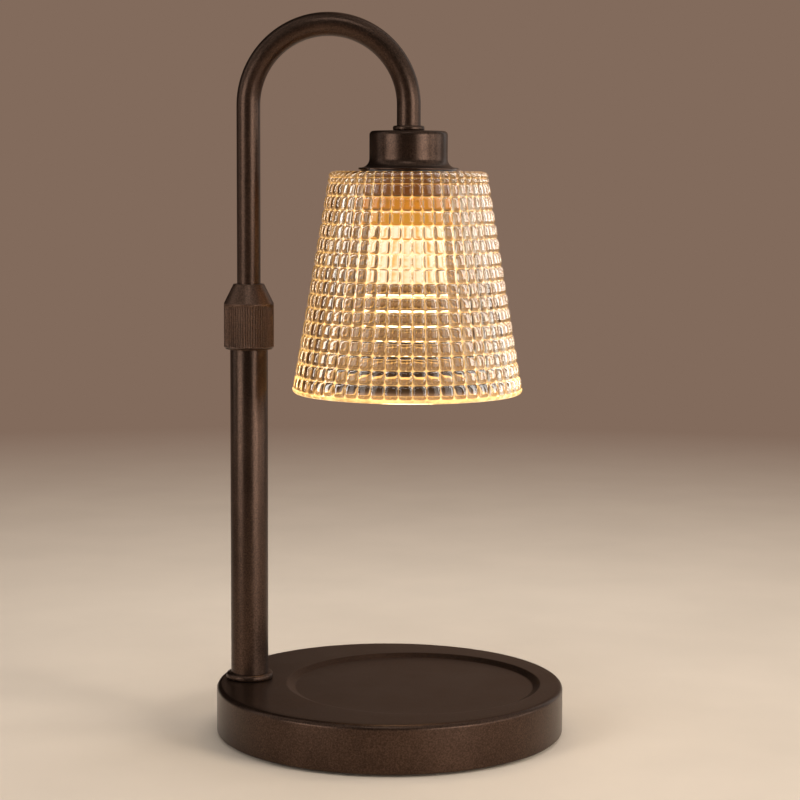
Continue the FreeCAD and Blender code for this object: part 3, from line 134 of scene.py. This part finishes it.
class Looks:
    """A node material, built up from its Principled shader."""

    def __init__(self, name, **fixed):
        self.material = bpy.data.materials.new(name)
        self.material.use_nodes = True
        self.tree = self.material.node_tree
        self.shader = self.tree.nodes["Principled BSDF"]
        for key, value in fixed.items():
            self.shader.inputs[key.replace("_", " ")].default_value = value
        self.place = self.node("ShaderNodeTexCoord").outputs["Object"]

    def node(self, kind, **values):
        made = self.tree.nodes.new(kind)
        for key, value in values.items():
            if hasattr(made, key):
                setattr(made, key, value)
            else:
                made.inputs[key.replace("_", " ")].default_value = value
        return made

    def link(self, output, target):
        self.tree.links.new(output, target)

    def noise(self, scale, detail=2.0, roughness=0.5, stretch=None):
        """Noise whose features are about 1 / scale metres across."""
        texture = self.node("ShaderNodeTexNoise", Scale=scale, Detail=detail, Roughness=roughness)
        place = self.place
        if stretch is not None:
            mapping = self.node("ShaderNodeMapping", Scale=stretch)
            self.link(place, mapping.inputs["Vector"])
            place = mapping.outputs["Vector"]
        self.link(place, texture.inputs["Vector"])
        return texture.outputs["Fac"]

    def wavering(self, noise, amount):
        """Noise as small steps up and down from 0."""
        return self.math("MULTIPLY", self.math("SUBTRACT", noise, 0.5), amount)

    def ramp(self, source, *stops):
        opaque = [(position, (*color, 1.0)) for position, color in stops]
        return ramp_node(self.tree, source, opaque).outputs["Color"]

    def spread(self, source, low, high, at_low=0.3, at_high=0.7):
        return range_node(self.tree, source, low, high, at_low, at_high)

    def math(self, operation, first, second=0.0):
        return math_node(self.tree, operation, first, second)

    def color(self, output):
        self.link(output, self.shader.inputs["Base Color"])

    def rough(self, output):
        self.link(output, self.shader.inputs["Roughness"])

    def bump(self, output, depth_mm, strength=1.0):
        made = self.node("ShaderNodeBump", Strength=strength, Distance=depth_mm * MM)
        self.link(output, made.inputs["Height"])
        self.link(made.outputs["Normal"], self.shader.inputs["Normal"])

    def glow(self, output, strength):
        self.link(output, self.shader.inputs["Emission Color"])
        self.shader.inputs["Emission Strength"].default_value = strength

    def axes(self):
        split = self.node("ShaderNodeSeparateXYZ")
        self.link(self.place, split.inputs["Vector"])
        return split.outputs

    def glow_by_height(self, low_mm, high_mm, flicker, stops, strength):
        """Glow whose colour changes from one height to another. flicker shifts it in places."""
        height = self.spread(self.axes()["Z"], 0.0, 1.0, low_mm * MM, high_mm * MM)
        self.glow(self.ramp(self.math("ADD", height, flicker), *stops), strength)


def linear(red, green, blue):
    """A screen colour, 0 to 255, as linear light."""
    shares = [channel / 255 for channel in (red, green, blue)]
    return tuple(s / 12.92 if s <= 0.04045 else ((s + 0.055) / 1.055) ** 2.4 for s in shares)


def shade_of(color, factor):
    return tuple(min(channel * factor, 1.0) for channel in color)


# ---------------------------------------------------------------- materials

def powder_coat(name, color, low=0.28, high=0.35):
    """Satin powder coat: a fine pebbled skin, with faint clouding. Below a roughness of about
    0.27 the denoiser takes a surface for a mirror, which leaves specks where the two meet."""
    looks = Looks(name, Metallic=0.85)
    pebbles = looks.noise(1500, 4.0, 0.65)
    clouds = looks.noise(38, 3.0, 0.6)
    mixed = looks.math("ADD", looks.math("MULTIPLY", pebbles, 0.75),
                       looks.math("MULTIPLY", clouds, 0.25))
    looks.color(looks.ramp(mixed, (0.38, shade_of(color, 0.60)), (0.50, color),
                           (0.62, shade_of(color, 1.55))))
    looks.rough(looks.spread(clouds, low, high))
    looks.bump(pebbles, 0.03, 0.6)
    return looks.material


def metal(name, color, low, high, grain, stretch=None, metallic=1.0):
    """Bare metal with tool marks or a cast skin."""
    looks = Looks(name, Metallic=metallic)
    marks = looks.noise(grain, 4.0, 0.6, stretch)
    looks.color(looks.ramp(marks, (0.25, shade_of(color, 0.72)), (0.75, shade_of(color, 1.15))))
    looks.rough(looks.spread(marks, low, high))
    looks.bump(marks, 0.03, 0.4)
    return looks.material


def moulded(name, color, low=0.45, high=0.6, grain=900, depth=0.02):
    """Moulded plastic, rubber or ceramic with a fine skin."""
    looks = Looks(name)
    skin = looks.noise(grain, 3.0, 0.55)
    clouds = looks.noise(60, 2.0)
    looks.color(looks.ramp(clouds, (0.3, shade_of(color, 0.88)), (0.7, shade_of(color, 1.08))))
    looks.rough(looks.spread(skin, low, high))
    looks.bump(skin, depth, 0.5)
    return looks.material


def pressed_glass(name):
    """Pale amber pressed glass, fire-polished, so faintly wavy rather than rough. A painted glow
    stands in for the bulb's light: bright in its grooves and on its rim, and a faint amber over all
    the rest."""
    looks = Looks(name, IOR=1.5, Transmission_Weight=1.0, Roughness=0.0)
    waves = looks.noise(160, 2.0, 0.5)
    looks.color(looks.ramp(waves, (0.2, (0.985, 0.885, 0.71)), (0.8, (0.995, 0.905, 0.76))))
    looks.bump(waves, 0.05, 0.6)
    # Painted glow, not a lamp: the glass's emission follows each point's weight for it. It is a
    # faint amber everywhere and bright in the grooves and on the rim.
    groove = looks.node("ShaderNodeAttribute", attribute_name="groove").outputs["Fac"]
    painted_glow = looks.math("MULTIPLY", groove, looks.spread(looks.noise(300, 2.0), 0.6, 1.0))
    looks.glow(looks.ramp(painted_glow, (0.0, (0.014, 0.0055, 0.0012)), (0.4, (0.14, 0.062, 0.015)),
                          (1.0, (1.0, 0.60, 0.20))), 1.15)
    return looks.material


def lit_glass(name, stops, low_z, high_z, strength, speckle=0.25):
    """Bulb glass that glows, in a colour that changes with its height."""
    looks = Looks(name, Roughness=0.25, Base_Color=(1.0, 0.86, 0.62, 1.0))
    flicker = looks.wavering(looks.noise(420, 3.0), speckle)
    looks.glow_by_height(low_z, high_z, flicker, stops, strength)
    looks.bump(looks.noise(900, 2.0), 0.02, 0.4)
    return looks.material


def sleeve_painted_glow(name, color):
    """Heat-resistant plastic with a painted glow for the bulb's light on it: bright amber low down,
    next to the bulb, fading to a dark brown higher up.
    """
    looks = Looks(name, Roughness=0.38)
    skin = looks.noise(700, 3.0)
    looks.color(looks.ramp(skin, (0.3, shade_of(color, 0.9)), (0.7, shade_of(color, 1.05))))
    clouds = looks.wavering(looks.noise(150, 2.0), 0.25)
    # Painted glow, not a lamp: it stands in for the bulb's light on the sleeve and its ring.
    looks.glow_by_height(214, 240, clouds,
                         [(0.0, (1.0, 0.58, 0.09)), (0.55, (0.72, 0.30, 0.03)),
                          (0.68, (0.10, 0.04, 0.010)), (1.0, (0.03, 0.012, 0.004))], 0.66)
    looks.bump(skin, 0.02, 0.4)
    return looks.material


FACETS = 44


def lit_reflector(name):
    """Reflector glass that the burner shines through, in the narrow facets it is pressed with."""
    looks = Looks(name, Roughness=0.25, Base_Color=(0.30, 0.18, 0.08, 1.0))
    axes = looks.axes()
    turn = looks.math("ARCTAN2", axes["Y"], looks.math("SUBTRACT", axes["X"], SHADE_X * MM))
    facet = looks.math("COSINE", looks.math("MULTIPLY", turn, FACETS))
    frost = looks.noise(1100, 3.0, 0.6)
    mixed = looks.math("ADD", looks.math("MULTIPLY", facet, 0.20),
                       looks.spread(frost, 0.40, 0.66, 0.25, 0.75))
    looks.glow(looks.ramp(mixed, (0.18, (0.22, 0.08, 0.012)), (0.36, (0.90, 0.52, 0.16)),
                          (0.52, (1.0, 0.88, 0.66)), (0.75, (1.0, 0.96, 0.88))), 1.12)
    looks.bump(frost, 0.03, 0.5)
    return looks.material


BRONZE = linear(68, 51, 41)
coat = powder_coat("bronze_powder_coat", BRONZE)
# The nut wears the bronze coat painted 1.7 times lighter and a little rougher: painted light, for
# how brightly its ribs are lit.
nut_coat_painted_lighter = powder_coat("bronze_powder_coat_nut_painted_lighter", shade_of(BRONZE, 1.7), low=0.34, high=0.44)
glass = pressed_glass("pressed_glass")

FINISHES = {
    "ballast_plate": metal("cast_iron_skin", linear(74, 74, 76), 0.6, 0.8, 700, metallic=0.7),
    "bottom_plate": metal("zinc_plate", linear(176, 178, 180), 0.28, 0.42, 900, (1, 14, 14)),
    "base_pad": moulded("foam_rubber", linear(26, 25, 25), 0.8, 0.95, 1400, 0.08),
    "inlet_grommet": moulded("black_nylon", linear(30, 30, 30)),
    "terminal_block": moulded("white_nylon", linear(222, 220, 212)),
    "collet": moulded("natural_nylon", linear(206, 200, 186)),
    "lampholder": moulded("steatite", linear(226, 220, 208), 0.5, 0.7, 1500, 0.03),
    "shade_gasket": moulded("black_silicone", linear(30, 28, 27), 0.4, 0.55),
    "terminal_inserts": metal("turned_brass", linear(208, 170, 104), 0.2, 0.34, 600, (1, 1, 20)),
    "base_lead": moulded("lead_sleeve", linear(208, 204, 196), 0.4, 0.55, 700),
    "shade_sleeve": sleeve_painted_glow("sleeve_plastic", linear(168, 112, 50)),
    "bulb_reflector": lit_reflector("reflector_glow"),
    "bulb_lens": lit_glass("lens_glow", [(0.0, (1.0, 0.86, 0.58)), (1.0, (1.0, 0.90, 0.66))],
                           193, 196, 8.0, 0.5),
    "bulb_capsule": lit_glass("capsule_glow", [(0.0, (1.0, 0.9, 0.7)), (1.0, (1.0, 0.8, 0.5))],
                              206, 221, 20.0),
}
SAME_AS = {
    "bottom_plate": ["base_screws", "post_stud", "post_washer", "post_nut", "collet_seat",
                     "arm_nipple", "nipple_nut", "holder_bracket", "holder_screws", "bulb_pins"],
    "collet": ["guide_bush"],
    "lampholder": ["bulb_base"],
    "terminal_inserts": ["lampholder_contacts"],
    "base_lead": ["post_lead", "arm_lead", "holder_leads"],
    "shade_sleeve": ["shade_ring"],
}


def dress(name, material):
    """Give a carried-over CAD node its finish."""
    slots = nodes[name].data.materials
    if not slots:
        slots.append(material)
    for number in range(len(slots)):
        slots[number] = material


def dress_nodes():
    for name, material in FINISHES.items():
        for other in [name] + SAME_AS.get(name, []):
            dress(other, material)
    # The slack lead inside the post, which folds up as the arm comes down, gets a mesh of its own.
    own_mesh(nodes["post_lead"])


# ---------------------------------------------------------------- meshes

def add_mesh(name, vertices, faces, material, body, node, sharp=32):
    """A mesh from millimetre vertices that replaces a CAD node. Edges sharper than sharp degrees
    stay sharp."""
    mesh = bpy.data.meshes.new(name)
    mesh.from_pydata([tuple(v) for v in np.asarray(vertices, float) * MM], [], faces)
    mesh.validate()
    mesh.polygons.foreach_set("use_smooth", [True] * len(mesh.polygons))
    mesh.set_sharp_from_angle(angle=math.radians(sharp))
    mesh.materials.append(material)
    piece = bpy.data.objects.new(name, mesh)
    scene.collection.objects.link(piece)
    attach(piece, body)
    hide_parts(node)
    return piece


def rounded(points, steps=8):
    """A closed outline in (radius, height), where a third number rounds that corner."""
    outline = []
    count = len(points)
    for index, point in enumerate(points):
        corner = Vector(point[:2])
        if len(point) < 3:
            outline.append(corner)
            continue
        inward = (Vector(points[index - 1][:2]) - corner).normalized()
        outward = (Vector(points[(index + 1) % count][:2]) - corner).normalized()
        half = inward.angle(outward) / 2
        run = point[2] / math.tan(half)
        centre = corner + (inward + outward).normalized() * (point[2] / math.sin(half))
        first = corner + inward * run - centre
        last = corner + outward * run - centre
        sweep = math.pi - 2 * half
        for step in range(steps + 1):
            share = step / steps
            weights = (math.sin((1 - share) * sweep), math.sin(share * sweep))
            outline.append(centre + (first * weights[0] + last * weights[1]) / math.sin(sweep))
    return outline


def turned_faces(segments, count, closed=True):
    """Faces of a turned mesh, whose vertices go outline by outline, count to each."""
    faces = []
    for step in range(segments):
        here, there = step * count, (step + 1) % segments * count
        for index in range(count if closed else count - 1):
            after = (index + 1) % count
            faces.append((here + index, there + index, there + after, here + after))
    return faces


def lathe(name, outline, centre_x, material, body, node, segments=96, sharp=32,
          radius_at=None):
    """Turn a closed outline. radius_at(radius, height, angle) may change each point's radius."""
    vertices = []
    for step in range(segments):
        angle = 2 * math.pi * step / segments
        for radius, height in outline:
            if radius_at is not None:
                radius = radius_at(radius, height, angle)
            vertices.append((centre_x + radius * math.cos(angle), radius * math.sin(angle), height))
    return add_mesh(name, vertices, turned_faces(segments, len(outline)), material, body,
                    node, sharp)


# ---------------------------------------------------------------- base and post

def make_base():
    """Spun cover with its pressed candle seat off centre: each ring of the top is blended
    between the cover's centre and the seat's. Each point has its share of that shift."""
    outline = [(radius, height, 0.0) for radius, height in rounded([
        (73.5, 1.0), (BASE_RADIUS, 1.0, 0.9), (BASE_RADIUS, BASE_TOP, 2.2), (70.0, BASE_TOP)], 10)]
    edge = outline[-1][0]
    for share in (0.25, 0.5, 0.75):
        outline.append((edge + (SEAT_REACH - edge) * share, BASE_TOP, share))
    seat = rounded([(70.0, BASE_TOP), (55.0, BASE_TOP, 2.6), (51.6, SEAT_Z, 2.6), (40.0, SEAT_Z),
                    (20.0, SEAT_Z), (2.0, SEAT_Z)])
    outline += [(radius, height, 1.0) for radius, height in seat if radius < SEAT_REACH]
    segments = 256
    vertices = []
    for number in range(segments):
        angle = 2 * math.pi * number / segments
        for radius, height, share in outline:
            vertices.append((SEAT_X * share + radius * math.cos(angle), radius * math.sin(angle),
                             height))
    count = len(outline)
    faces = turned_faces(segments, count, closed=False)
    faces.append(tuple(number * count + count - 1 for number in range(segments)))
    add_mesh("base_shell", vertices, faces, coat, "base", "base_cover", 50)


def make_post():
    lathe("post_outer_tube",
          rounded([(6.9, BASE_TOP), (POST_RADIUS, BASE_TOP), (POST_RADIUS, 167.6, 0.3),
                   (6.9, 167.6)], 3),
          POST_X, coat, "base", "post_tube")
    lathe("post_foot_collar",
          rounded([(8.12, BASE_TOP), (10.2, BASE_TOP, 0.9), (10.2, 24.4, 1.3), (8.12, 24.4)], 6),
          POST_X, coat, "base", "post_foot_ring")


NUT_RADIUS = 10.7
RIBS = 60
RIB_DEPTH = 0.42
KNURL_LOW = 166.9
KNURL_HIGH = 184.9
KNURL_RINGS = [166.8, 167.0, 167.4, 169, 172, 175, 178, 181, 183.6, 184.3, 184.7, 184.95]


def ribs(radius, height, angle):
    if radius < 10.2 or not KNURL_LOW <= height <= KNURL_HIGH:
        return radius
    fade = min(1.0, (height - KNURL_LOW) / 0.5, (KNURL_HIGH - height) / 0.5)
    wave = abs(math.sin(angle * RIBS / 2))
    return radius - RIB_DEPTH * (1 - wave ** 0.7) * fade


def make_lock_nut():
    """Clamping nut: straight round-topped ribs, and a smooth cone above them."""
    outline = rounded([(8.8, 165.8), (9.9, 165.8, 0.2), (NUT_RADIUS, 166.7, 0.2)], 3)[:-1]
    outline += [Vector((NUT_RADIUS, z)) for z in KNURL_RINGS]
    outline += rounded([(NUT_RADIUS, 185.1), (NUT_RADIUS, 185.5, 0.25), (6.55, 193.8, 0.35),
                        (5.45, 193.8, 0.2), (5.45, 191.7), (6.05, 191.7), (7.25, 184.2),
                        (8.8, 182.5)], 4)
    lathe("clamp_nut", outline, POST_X, nut_coat_painted_lighter, "lock_nut", "lock_nut", 600, 50,
          ribs)


# ---------------------------------------------------------------- gooseneck and cap

def tube_route():
    """Points along the gooseneck's middle, each with the angle that the tube has turned."""
    route = [((POST_X, 0, z), 0.0) for z in (106, 150, 180, 210, 240, 262)]
    turns = 72
    for step in range(turns + 1):
        angle = math.pi * step / turns
        route.append(((POST_X + BEND_RADIUS - BEND_RADIUS * math.cos(angle), 0,
                       BEND_Z + BEND_RADIUS * math.sin(angle)), angle))
    return route + [((SHADE_X, 0, z), math.pi) for z in (265, CAP_TOP)]


def make_arm():
    """Bent tube, swept with rings square to its route, outside first and then its bore."""
    route = tube_route()
    sides = 64
    vertices = []
    for radius in (TUBE_RADIUS, TUBE_BORE):
        for (x, y, z), angle in route:
            for side in range(sides):
                around = 2 * math.pi * side / sides
                out = radius * math.cos(around)
                vertices.append((x - out * math.cos(angle), y + radius * math.sin(around),
                                 z + out * math.sin(angle)))
    rings = len(route)
    faces = []
    for layer in range(2):
        for ring in range(rings - 1):
            start = (layer * rings + ring) * sides
            for side in range(sides):
                after = (side + 1) % sides
                corners = [start + side, start + after, start + sides + after, start + sides + side]
                faces.append(tuple(corners if layer == 0 else reversed(corners)))
    for ring in (0, rings - 1):
        outer, inner = ring * sides, (rings + ring) * sides
        for side in range(sides):
            after = (side + 1) % sides
            corners = [outer + side, inner + side, inner + after, outer + after]
            faces.append(tuple(corners if ring == 0 else reversed(corners)))
    add_mesh("gooseneck_tube", vertices, faces, coat, "arm", "arm_tube", 50)
    lathe("neck_collar", rounded([(5.07, CAP_TOP), (6.7, CAP_TOP, 0.8), (6.7, 261.3, 0.9),
                                  (5.07, 261.3)], 6),
          SHADE_X, coat, "arm", "neck_ring")


def make_cap():
    """Spun cup: a flat foot, a hollow curve up to its side, a rounded top and its inside."""
    cup, curve = 16.6, 3.8
    outline = rounded([(17.4, 242.7), (21.2, 242.7, 0.3), (21.2, 243.6, 0.3), (20.6, 243.6)], 4)
    for step in range(11):
        angle = math.pi / 2 * step / 10
        outline.append(Vector((cup + curve - curve * math.sin(angle),
                               247.4 - curve * math.cos(angle))))
    outline += rounded([(cup, 250), (cup, CAP_TOP, 1.7), (4.05, CAP_TOP), (4.05, 257.9),
                        (15.4, 257.9), (15.4, 247.4), (17.4, 244.2)])
    lathe("shade_cup", outline, SHADE_X, coat, "arm", "shade_cap", 160, 40)


# ---------------------------------------------------------------- glass

GLASS_LOW = 147.9
GLASS_TOP = 242.1
RIM_RADIUS = 49.5
TOP_RADIUS = 33.5
SHOULDER = 2.0
COLUMNS = 52
ROW_EDGES = [149.6 + 5.87 * number for number in range(15)] + [237.1, 239.4, GLASS_TOP]
PANE_DEPTH = 0.95

# Places across a cell, close together in its grooves, and the power of its pane's outline.
STEPS = (0.0, 0.025, 0.06, 0.11, 0.18, 0.30, 0.50, 0.70, 0.82, 0.89, 0.94, 0.975)
CELL_POWER = 4.5

# How strongly the rim's painted glow shows, and how high on a pane's shoulder the painted glow from
# the grooves ends.
RIM_PAINTED_GLOW = 0.85
GROOVE_GLOW_EDGE = 0.28


def pane(across, up):
    """Height of a cell over its grooves, 0 to 1: a flat pane with round shoulders and corners.
    Both places run from 0 to 1 over the cell."""
    return max(0.0, 1 - abs(2 * across - 1) ** CELL_POWER - abs(2 * up - 1) ** CELL_POWER)


def make_shade():
    """Pressed glass: rows and columns of rounded panes outside, a smooth cone inside."""
    slope = (RIM_RADIUS - TOP_RADIUS) / (GLASS_TOP - GLASS_LOW)
    outline = []
    for low, high in zip(ROW_EDGES, ROW_EDGES[1:]):
        for up in STEPS:
            height = low + (high - low) * up
            radius = RIM_RADIUS - slope * (height - GLASS_LOW)
            corner = max(0.0, height - (GLASS_TOP - SHOULDER))
            if corner:
                radius -= SHOULDER - math.sqrt(max(SHOULDER ** 2 - corner ** 2, 0.0))
            outline.append((radius, height, up))
    rim = rounded([(49.2, 149.6), (49.4, GLASS_LOW, 1.6), (42.5, GLASS_LOW, 1.6), (42.2, 149.6)],
                  6)[1:-1]
    inside = [(42.5 - slope * step, GLASS_LOW + step) for step in range(4, 87, 4)]
    plain = [(31.2, GLASS_TOP), (17.4, GLASS_TOP), (17.4, 236.1), (27.0, 236.1), (27.6, 235.8),
             (27.85, 235.0)] + inside[::-1] + rim[::-1]
    segments = COLUMNS * len(STEPS)
    vertices = []
    # Each point's share of the glass's painted glow, which stands in for the bulb's light in the
    # grooves and on the rim.
    grooves = []
    for number in range(segments):
        across = STEPS[number % len(STEPS)]
        angle = 2 * math.pi * (number // len(STEPS) + across) / COLUMNS
        ring = []
        for radius, height, up in outline:
            rise = pane(across, up)
            ring.append((radius - PANE_DEPTH * (1 - rise), height))
            grooves.append(max(0.0, 1 - rise / GROOVE_GLOW_EDGE))
        ring += plain
        grooves += [0.0] * (len(plain) - len(rim)) + [RIM_PAINTED_GLOW] * len(rim)
        for radius, height in ring:
            vertices.append((SHADE_X + radius * math.cos(angle), radius * math.sin(angle), height))
    faces = turned_faces(segments, len(outline) + len(plain))
    shade = add_mesh("waffle_glass", vertices, faces, glass, "arm", "shade", 80)
    painted_glow = shade.data.attributes.new("groove", "FLOAT", "POINT")
    painted_glow.data.foreach_set("value", grooves)


# ---------------------------------------------------------------- floor, world, lights

FLOOR = linear(214, 198, 180)
BACKGROUND = linear(130, 107, 92)
CURTAIN = linear(14, 10, 8)
# The painted shadow that the floor shows through the glass.
SHADOWED = linear(44, 33, 25)

# The room round the lamp by compass angle: 0 is behind the camera, 90 is on its right and 180 is
# behind the lamp. Tall windows stand between dark curtains. Each stop has the level of the room
# (0 the backdrop, -1 a curtain) and the sheen that it adds on satin surfaces.
ROOM = [(-180, 0.0, 0.0), (-174, 0.0, 0.0), (-168, -1.0, 0.0), (-103, -1.0, 0.0),
        (-98, 1.0, 0.0), (-82, 1.0, 0.0), (-78, 0.05, 0.0), (-68, 0.05, 0.0), (-60, 0.42, 0.7),
        (-36, 0.42, 0.7), (-28, 0.05, 0.0), (28, 0.05, 0.0), (36, 0.40, 1.0), (62, 0.45, 1.0),
        (66, -1.0, 0.1), (71, -1.0, 0.1), (75, 1.0, 0.2), (87, 1.0, 0.2), (90, -1.0, 0.1),
        (95, -1.0, 0.1), (98, 0.9, 0.2), (113, 0.9, 0.1), (116, -1.0, 0.0), (127, -1.0, 0.0),
        (131, 0.8, 0.0), (146, 0.8, 0.0), (150, 0.0, 0.0)]
WINDOW_GLINT = 13.0
WINDOW_SHEEN = 18.0
SHEEN_LOW = 0.13
SHEEN_HIGH = 0.22
FLOOR_HALF = 12.0


def make_floor():
    """A pale card that fades into the backdrop with distance. Seen through the glass it shows a
    painted shadow instead: dark brown by the lamp, fading into the backdrop by 2.4 m."""
    mesh = bpy.data.meshes.new("floor")
    half = FLOOR_HALF
    mesh.from_pydata([(-half, -half, 0), (half, -half, 0), (half, half, 0), (-half, half, 0)], [],
                     [(0, 1, 2, 3)])
    floor = bpy.data.objects.new("floor", mesh)
    scene.collection.objects.link(floor)
    looks = Looks("floor_card", Roughness=0.8, Specular_IOR_Level=0.0)
    looks.color(looks.ramp(looks.noise(14, 3.0), (0.3, shade_of(FLOOR, 0.97)),
                           (0.7, shade_of(FLOOR, 1.03))))
    length = looks.node("ShaderNodeVectorMath", operation="LENGTH")
    looks.link(looks.place, length.inputs[0])
    distance = length.outputs["Value"]
    path = looks.node("ShaderNodeLightPath").outputs
    through = path["Is Transmission Ray"]
    direct = looks.math("MAXIMUM", path["Is Camera Ray"], path["Is Glossy Ray"])
    fade = looks.spread(distance, 0.0, 1.0, 0.30, 1.1)
    # Painted shadow, for rays through the glass only: dark close to the lamp.
    near = looks.math("MULTIPLY", through, looks.spread(distance, 1.0, 0.0, 1.0, 2.4))
    far = looks.node("ShaderNodeEmission")
    looks.link(looks.ramp(near, (0.0, BACKGROUND), (1.0, SHADOWED)), far.inputs["Color"])
    mixed = looks.node("ShaderNodeMixShader")
    looks.link(looks.math("MAXIMUM", looks.math("MULTIPLY", fade, direct), through),
               mixed.inputs[0])
    looks.link(looks.shader.outputs[0], mixed.inputs[1])
    looks.link(far.outputs[0], mixed.inputs[2])
    looks.link(mixed.outputs[0], looks.tree.nodes["Material Output"].inputs["Surface"])
    mesh.materials.append(looks.material)


def make_world():
    """A plain backdrop for the camera, and for the lamp a room with windows. Mirror-like rays see
    them brighter: by their level in sharp reflections, and by their sheen in satin ones, which
    only low directions have."""
    world = bpy.data.worlds.new("studio")
    world.use_nodes = True
    scene.world = world
    tree = world.node_tree
    direction = tree.nodes.new("ShaderNodeTexCoord").outputs["Generated"]
    split = tree.nodes.new("ShaderNodeSeparateXYZ")
    tree.links.new(direction, split.inputs[0])
    compass = math_node(tree, "ARCTAN2", split.outputs["X"],
                        math_node(tree, "MULTIPLY", split.outputs["Y"], -1.0))
    stops = []
    for angle, level, sheen in ROOM:
        windows = (level, level * 0.965, level * 0.93)
        color = {0.0: BACKGROUND, -1.0: CURTAIN}.get(level, windows)
        stops.append(((angle + 180) / 360, (*color, sheen)))
    room = ramp_node(tree, range_node(tree, compass, 0.0, 1.0, -math.pi, math.pi), stops)
    light = tree.nodes["Background"]
    tree.links.new(room.outputs["Color"], light.inputs["Color"])
    path = tree.nodes.new("ShaderNodeLightPath").outputs
    level = tree.nodes.new("ShaderNodeRGBToBW")
    tree.links.new(room.outputs["Color"], level.inputs[0])
    sharp = path["Is Singular Ray"]
    glint = math_node(tree, "MULTIPLY", level.outputs[0], WINDOW_GLINT)
    low = range_node(tree, split.outputs["Z"], WINDOW_SHEEN, 0.0, SHEEN_LOW, SHEEN_HIGH)
    sheen = math_node(tree, "MULTIPLY", room.outputs["Alpha"], low)
    chosen = math_node(tree, "ADD", math_node(tree, "MULTIPLY", glint, sharp),
                       math_node(tree, "MULTIPLY", sheen, math_node(tree, "SUBTRACT", 1.0, sharp)))
    mirrored = math_node(tree, "MULTIPLY", chosen, path["Is Reflection Ray"])
    mirrored = math_node(tree, "MULTIPLY", mirrored, path["Is Glossy Ray"])
    tree.links.new(math_node(tree, "ADD", mirrored, 1.0), light.inputs["Strength"])
    seen = tree.nodes.new("ShaderNodeBackground")
    seen.inputs["Color"].default_value = (*BACKGROUND, 1)
    mixed = tree.nodes.new("ShaderNodeMixShader")
    tree.links.new(path["Is Camera Ray"], mixed.inputs[0])
    tree.links.new(light.outputs[0], mixed.inputs[1])
    tree.links.new(seen.outputs[0], mixed.inputs[2])
    tree.links.new(mixed.outputs[0], tree.nodes["World Output"].inputs["Surface"])


def softbox(name, place, target, width, height, power, color=(1, 1, 1), mirrored=False):
    """A rectangular lamp. Surfaces mirror it only if mirrored: the world has the windows."""
    data = bpy.data.lights.new(name, "AREA")
    data.shape = "RECTANGLE"
    data.size, data.size_y = width, height
    data.energy = power
    data.color = color
    lamp = bpy.data.objects.new(name, data)
    scene.collection.objects.link(lamp)
    lamp.visible_glossy = mirrored
    lamp.visible_transmission = False
    lamp.location = place
    lamp.rotation_euler = (Vector(target) - Vector(place)).to_track_quat("-Z", "Y").to_euler()


def make_lights():
    softbox("softbox_left", (-0.95, -1.05, 0.55), (0, 0, 0.16), 0.42, 0.9, 9.0)
    softbox("softbox_right", (1.22, -0.68, 0.50), (0, 0, 0.16), 0.50, 0.9, 17.0, (1.0, 0.94, 0.86))
    softbox("softbox_side", (1.34, 0.22, 0.45), (0, 0, 0.18), 0.16, 0.8, 4.0)
    softbox("softbox_front", (0.0, -0.9, 1.35), (0, 0, 0.28), 0.6, 0.3, 1.9, mirrored=True)
    softbox("softbox_top", (0.1, 0.35, 1.25), (0, 0, 0.1), 0.9, 0.9, 6.0)


make_camera()
make_world()
make_lights()
make_floor()
dress_nodes()
make_base()
make_post()
make_lock_nut()
make_arm()
make_cap()
make_shade()
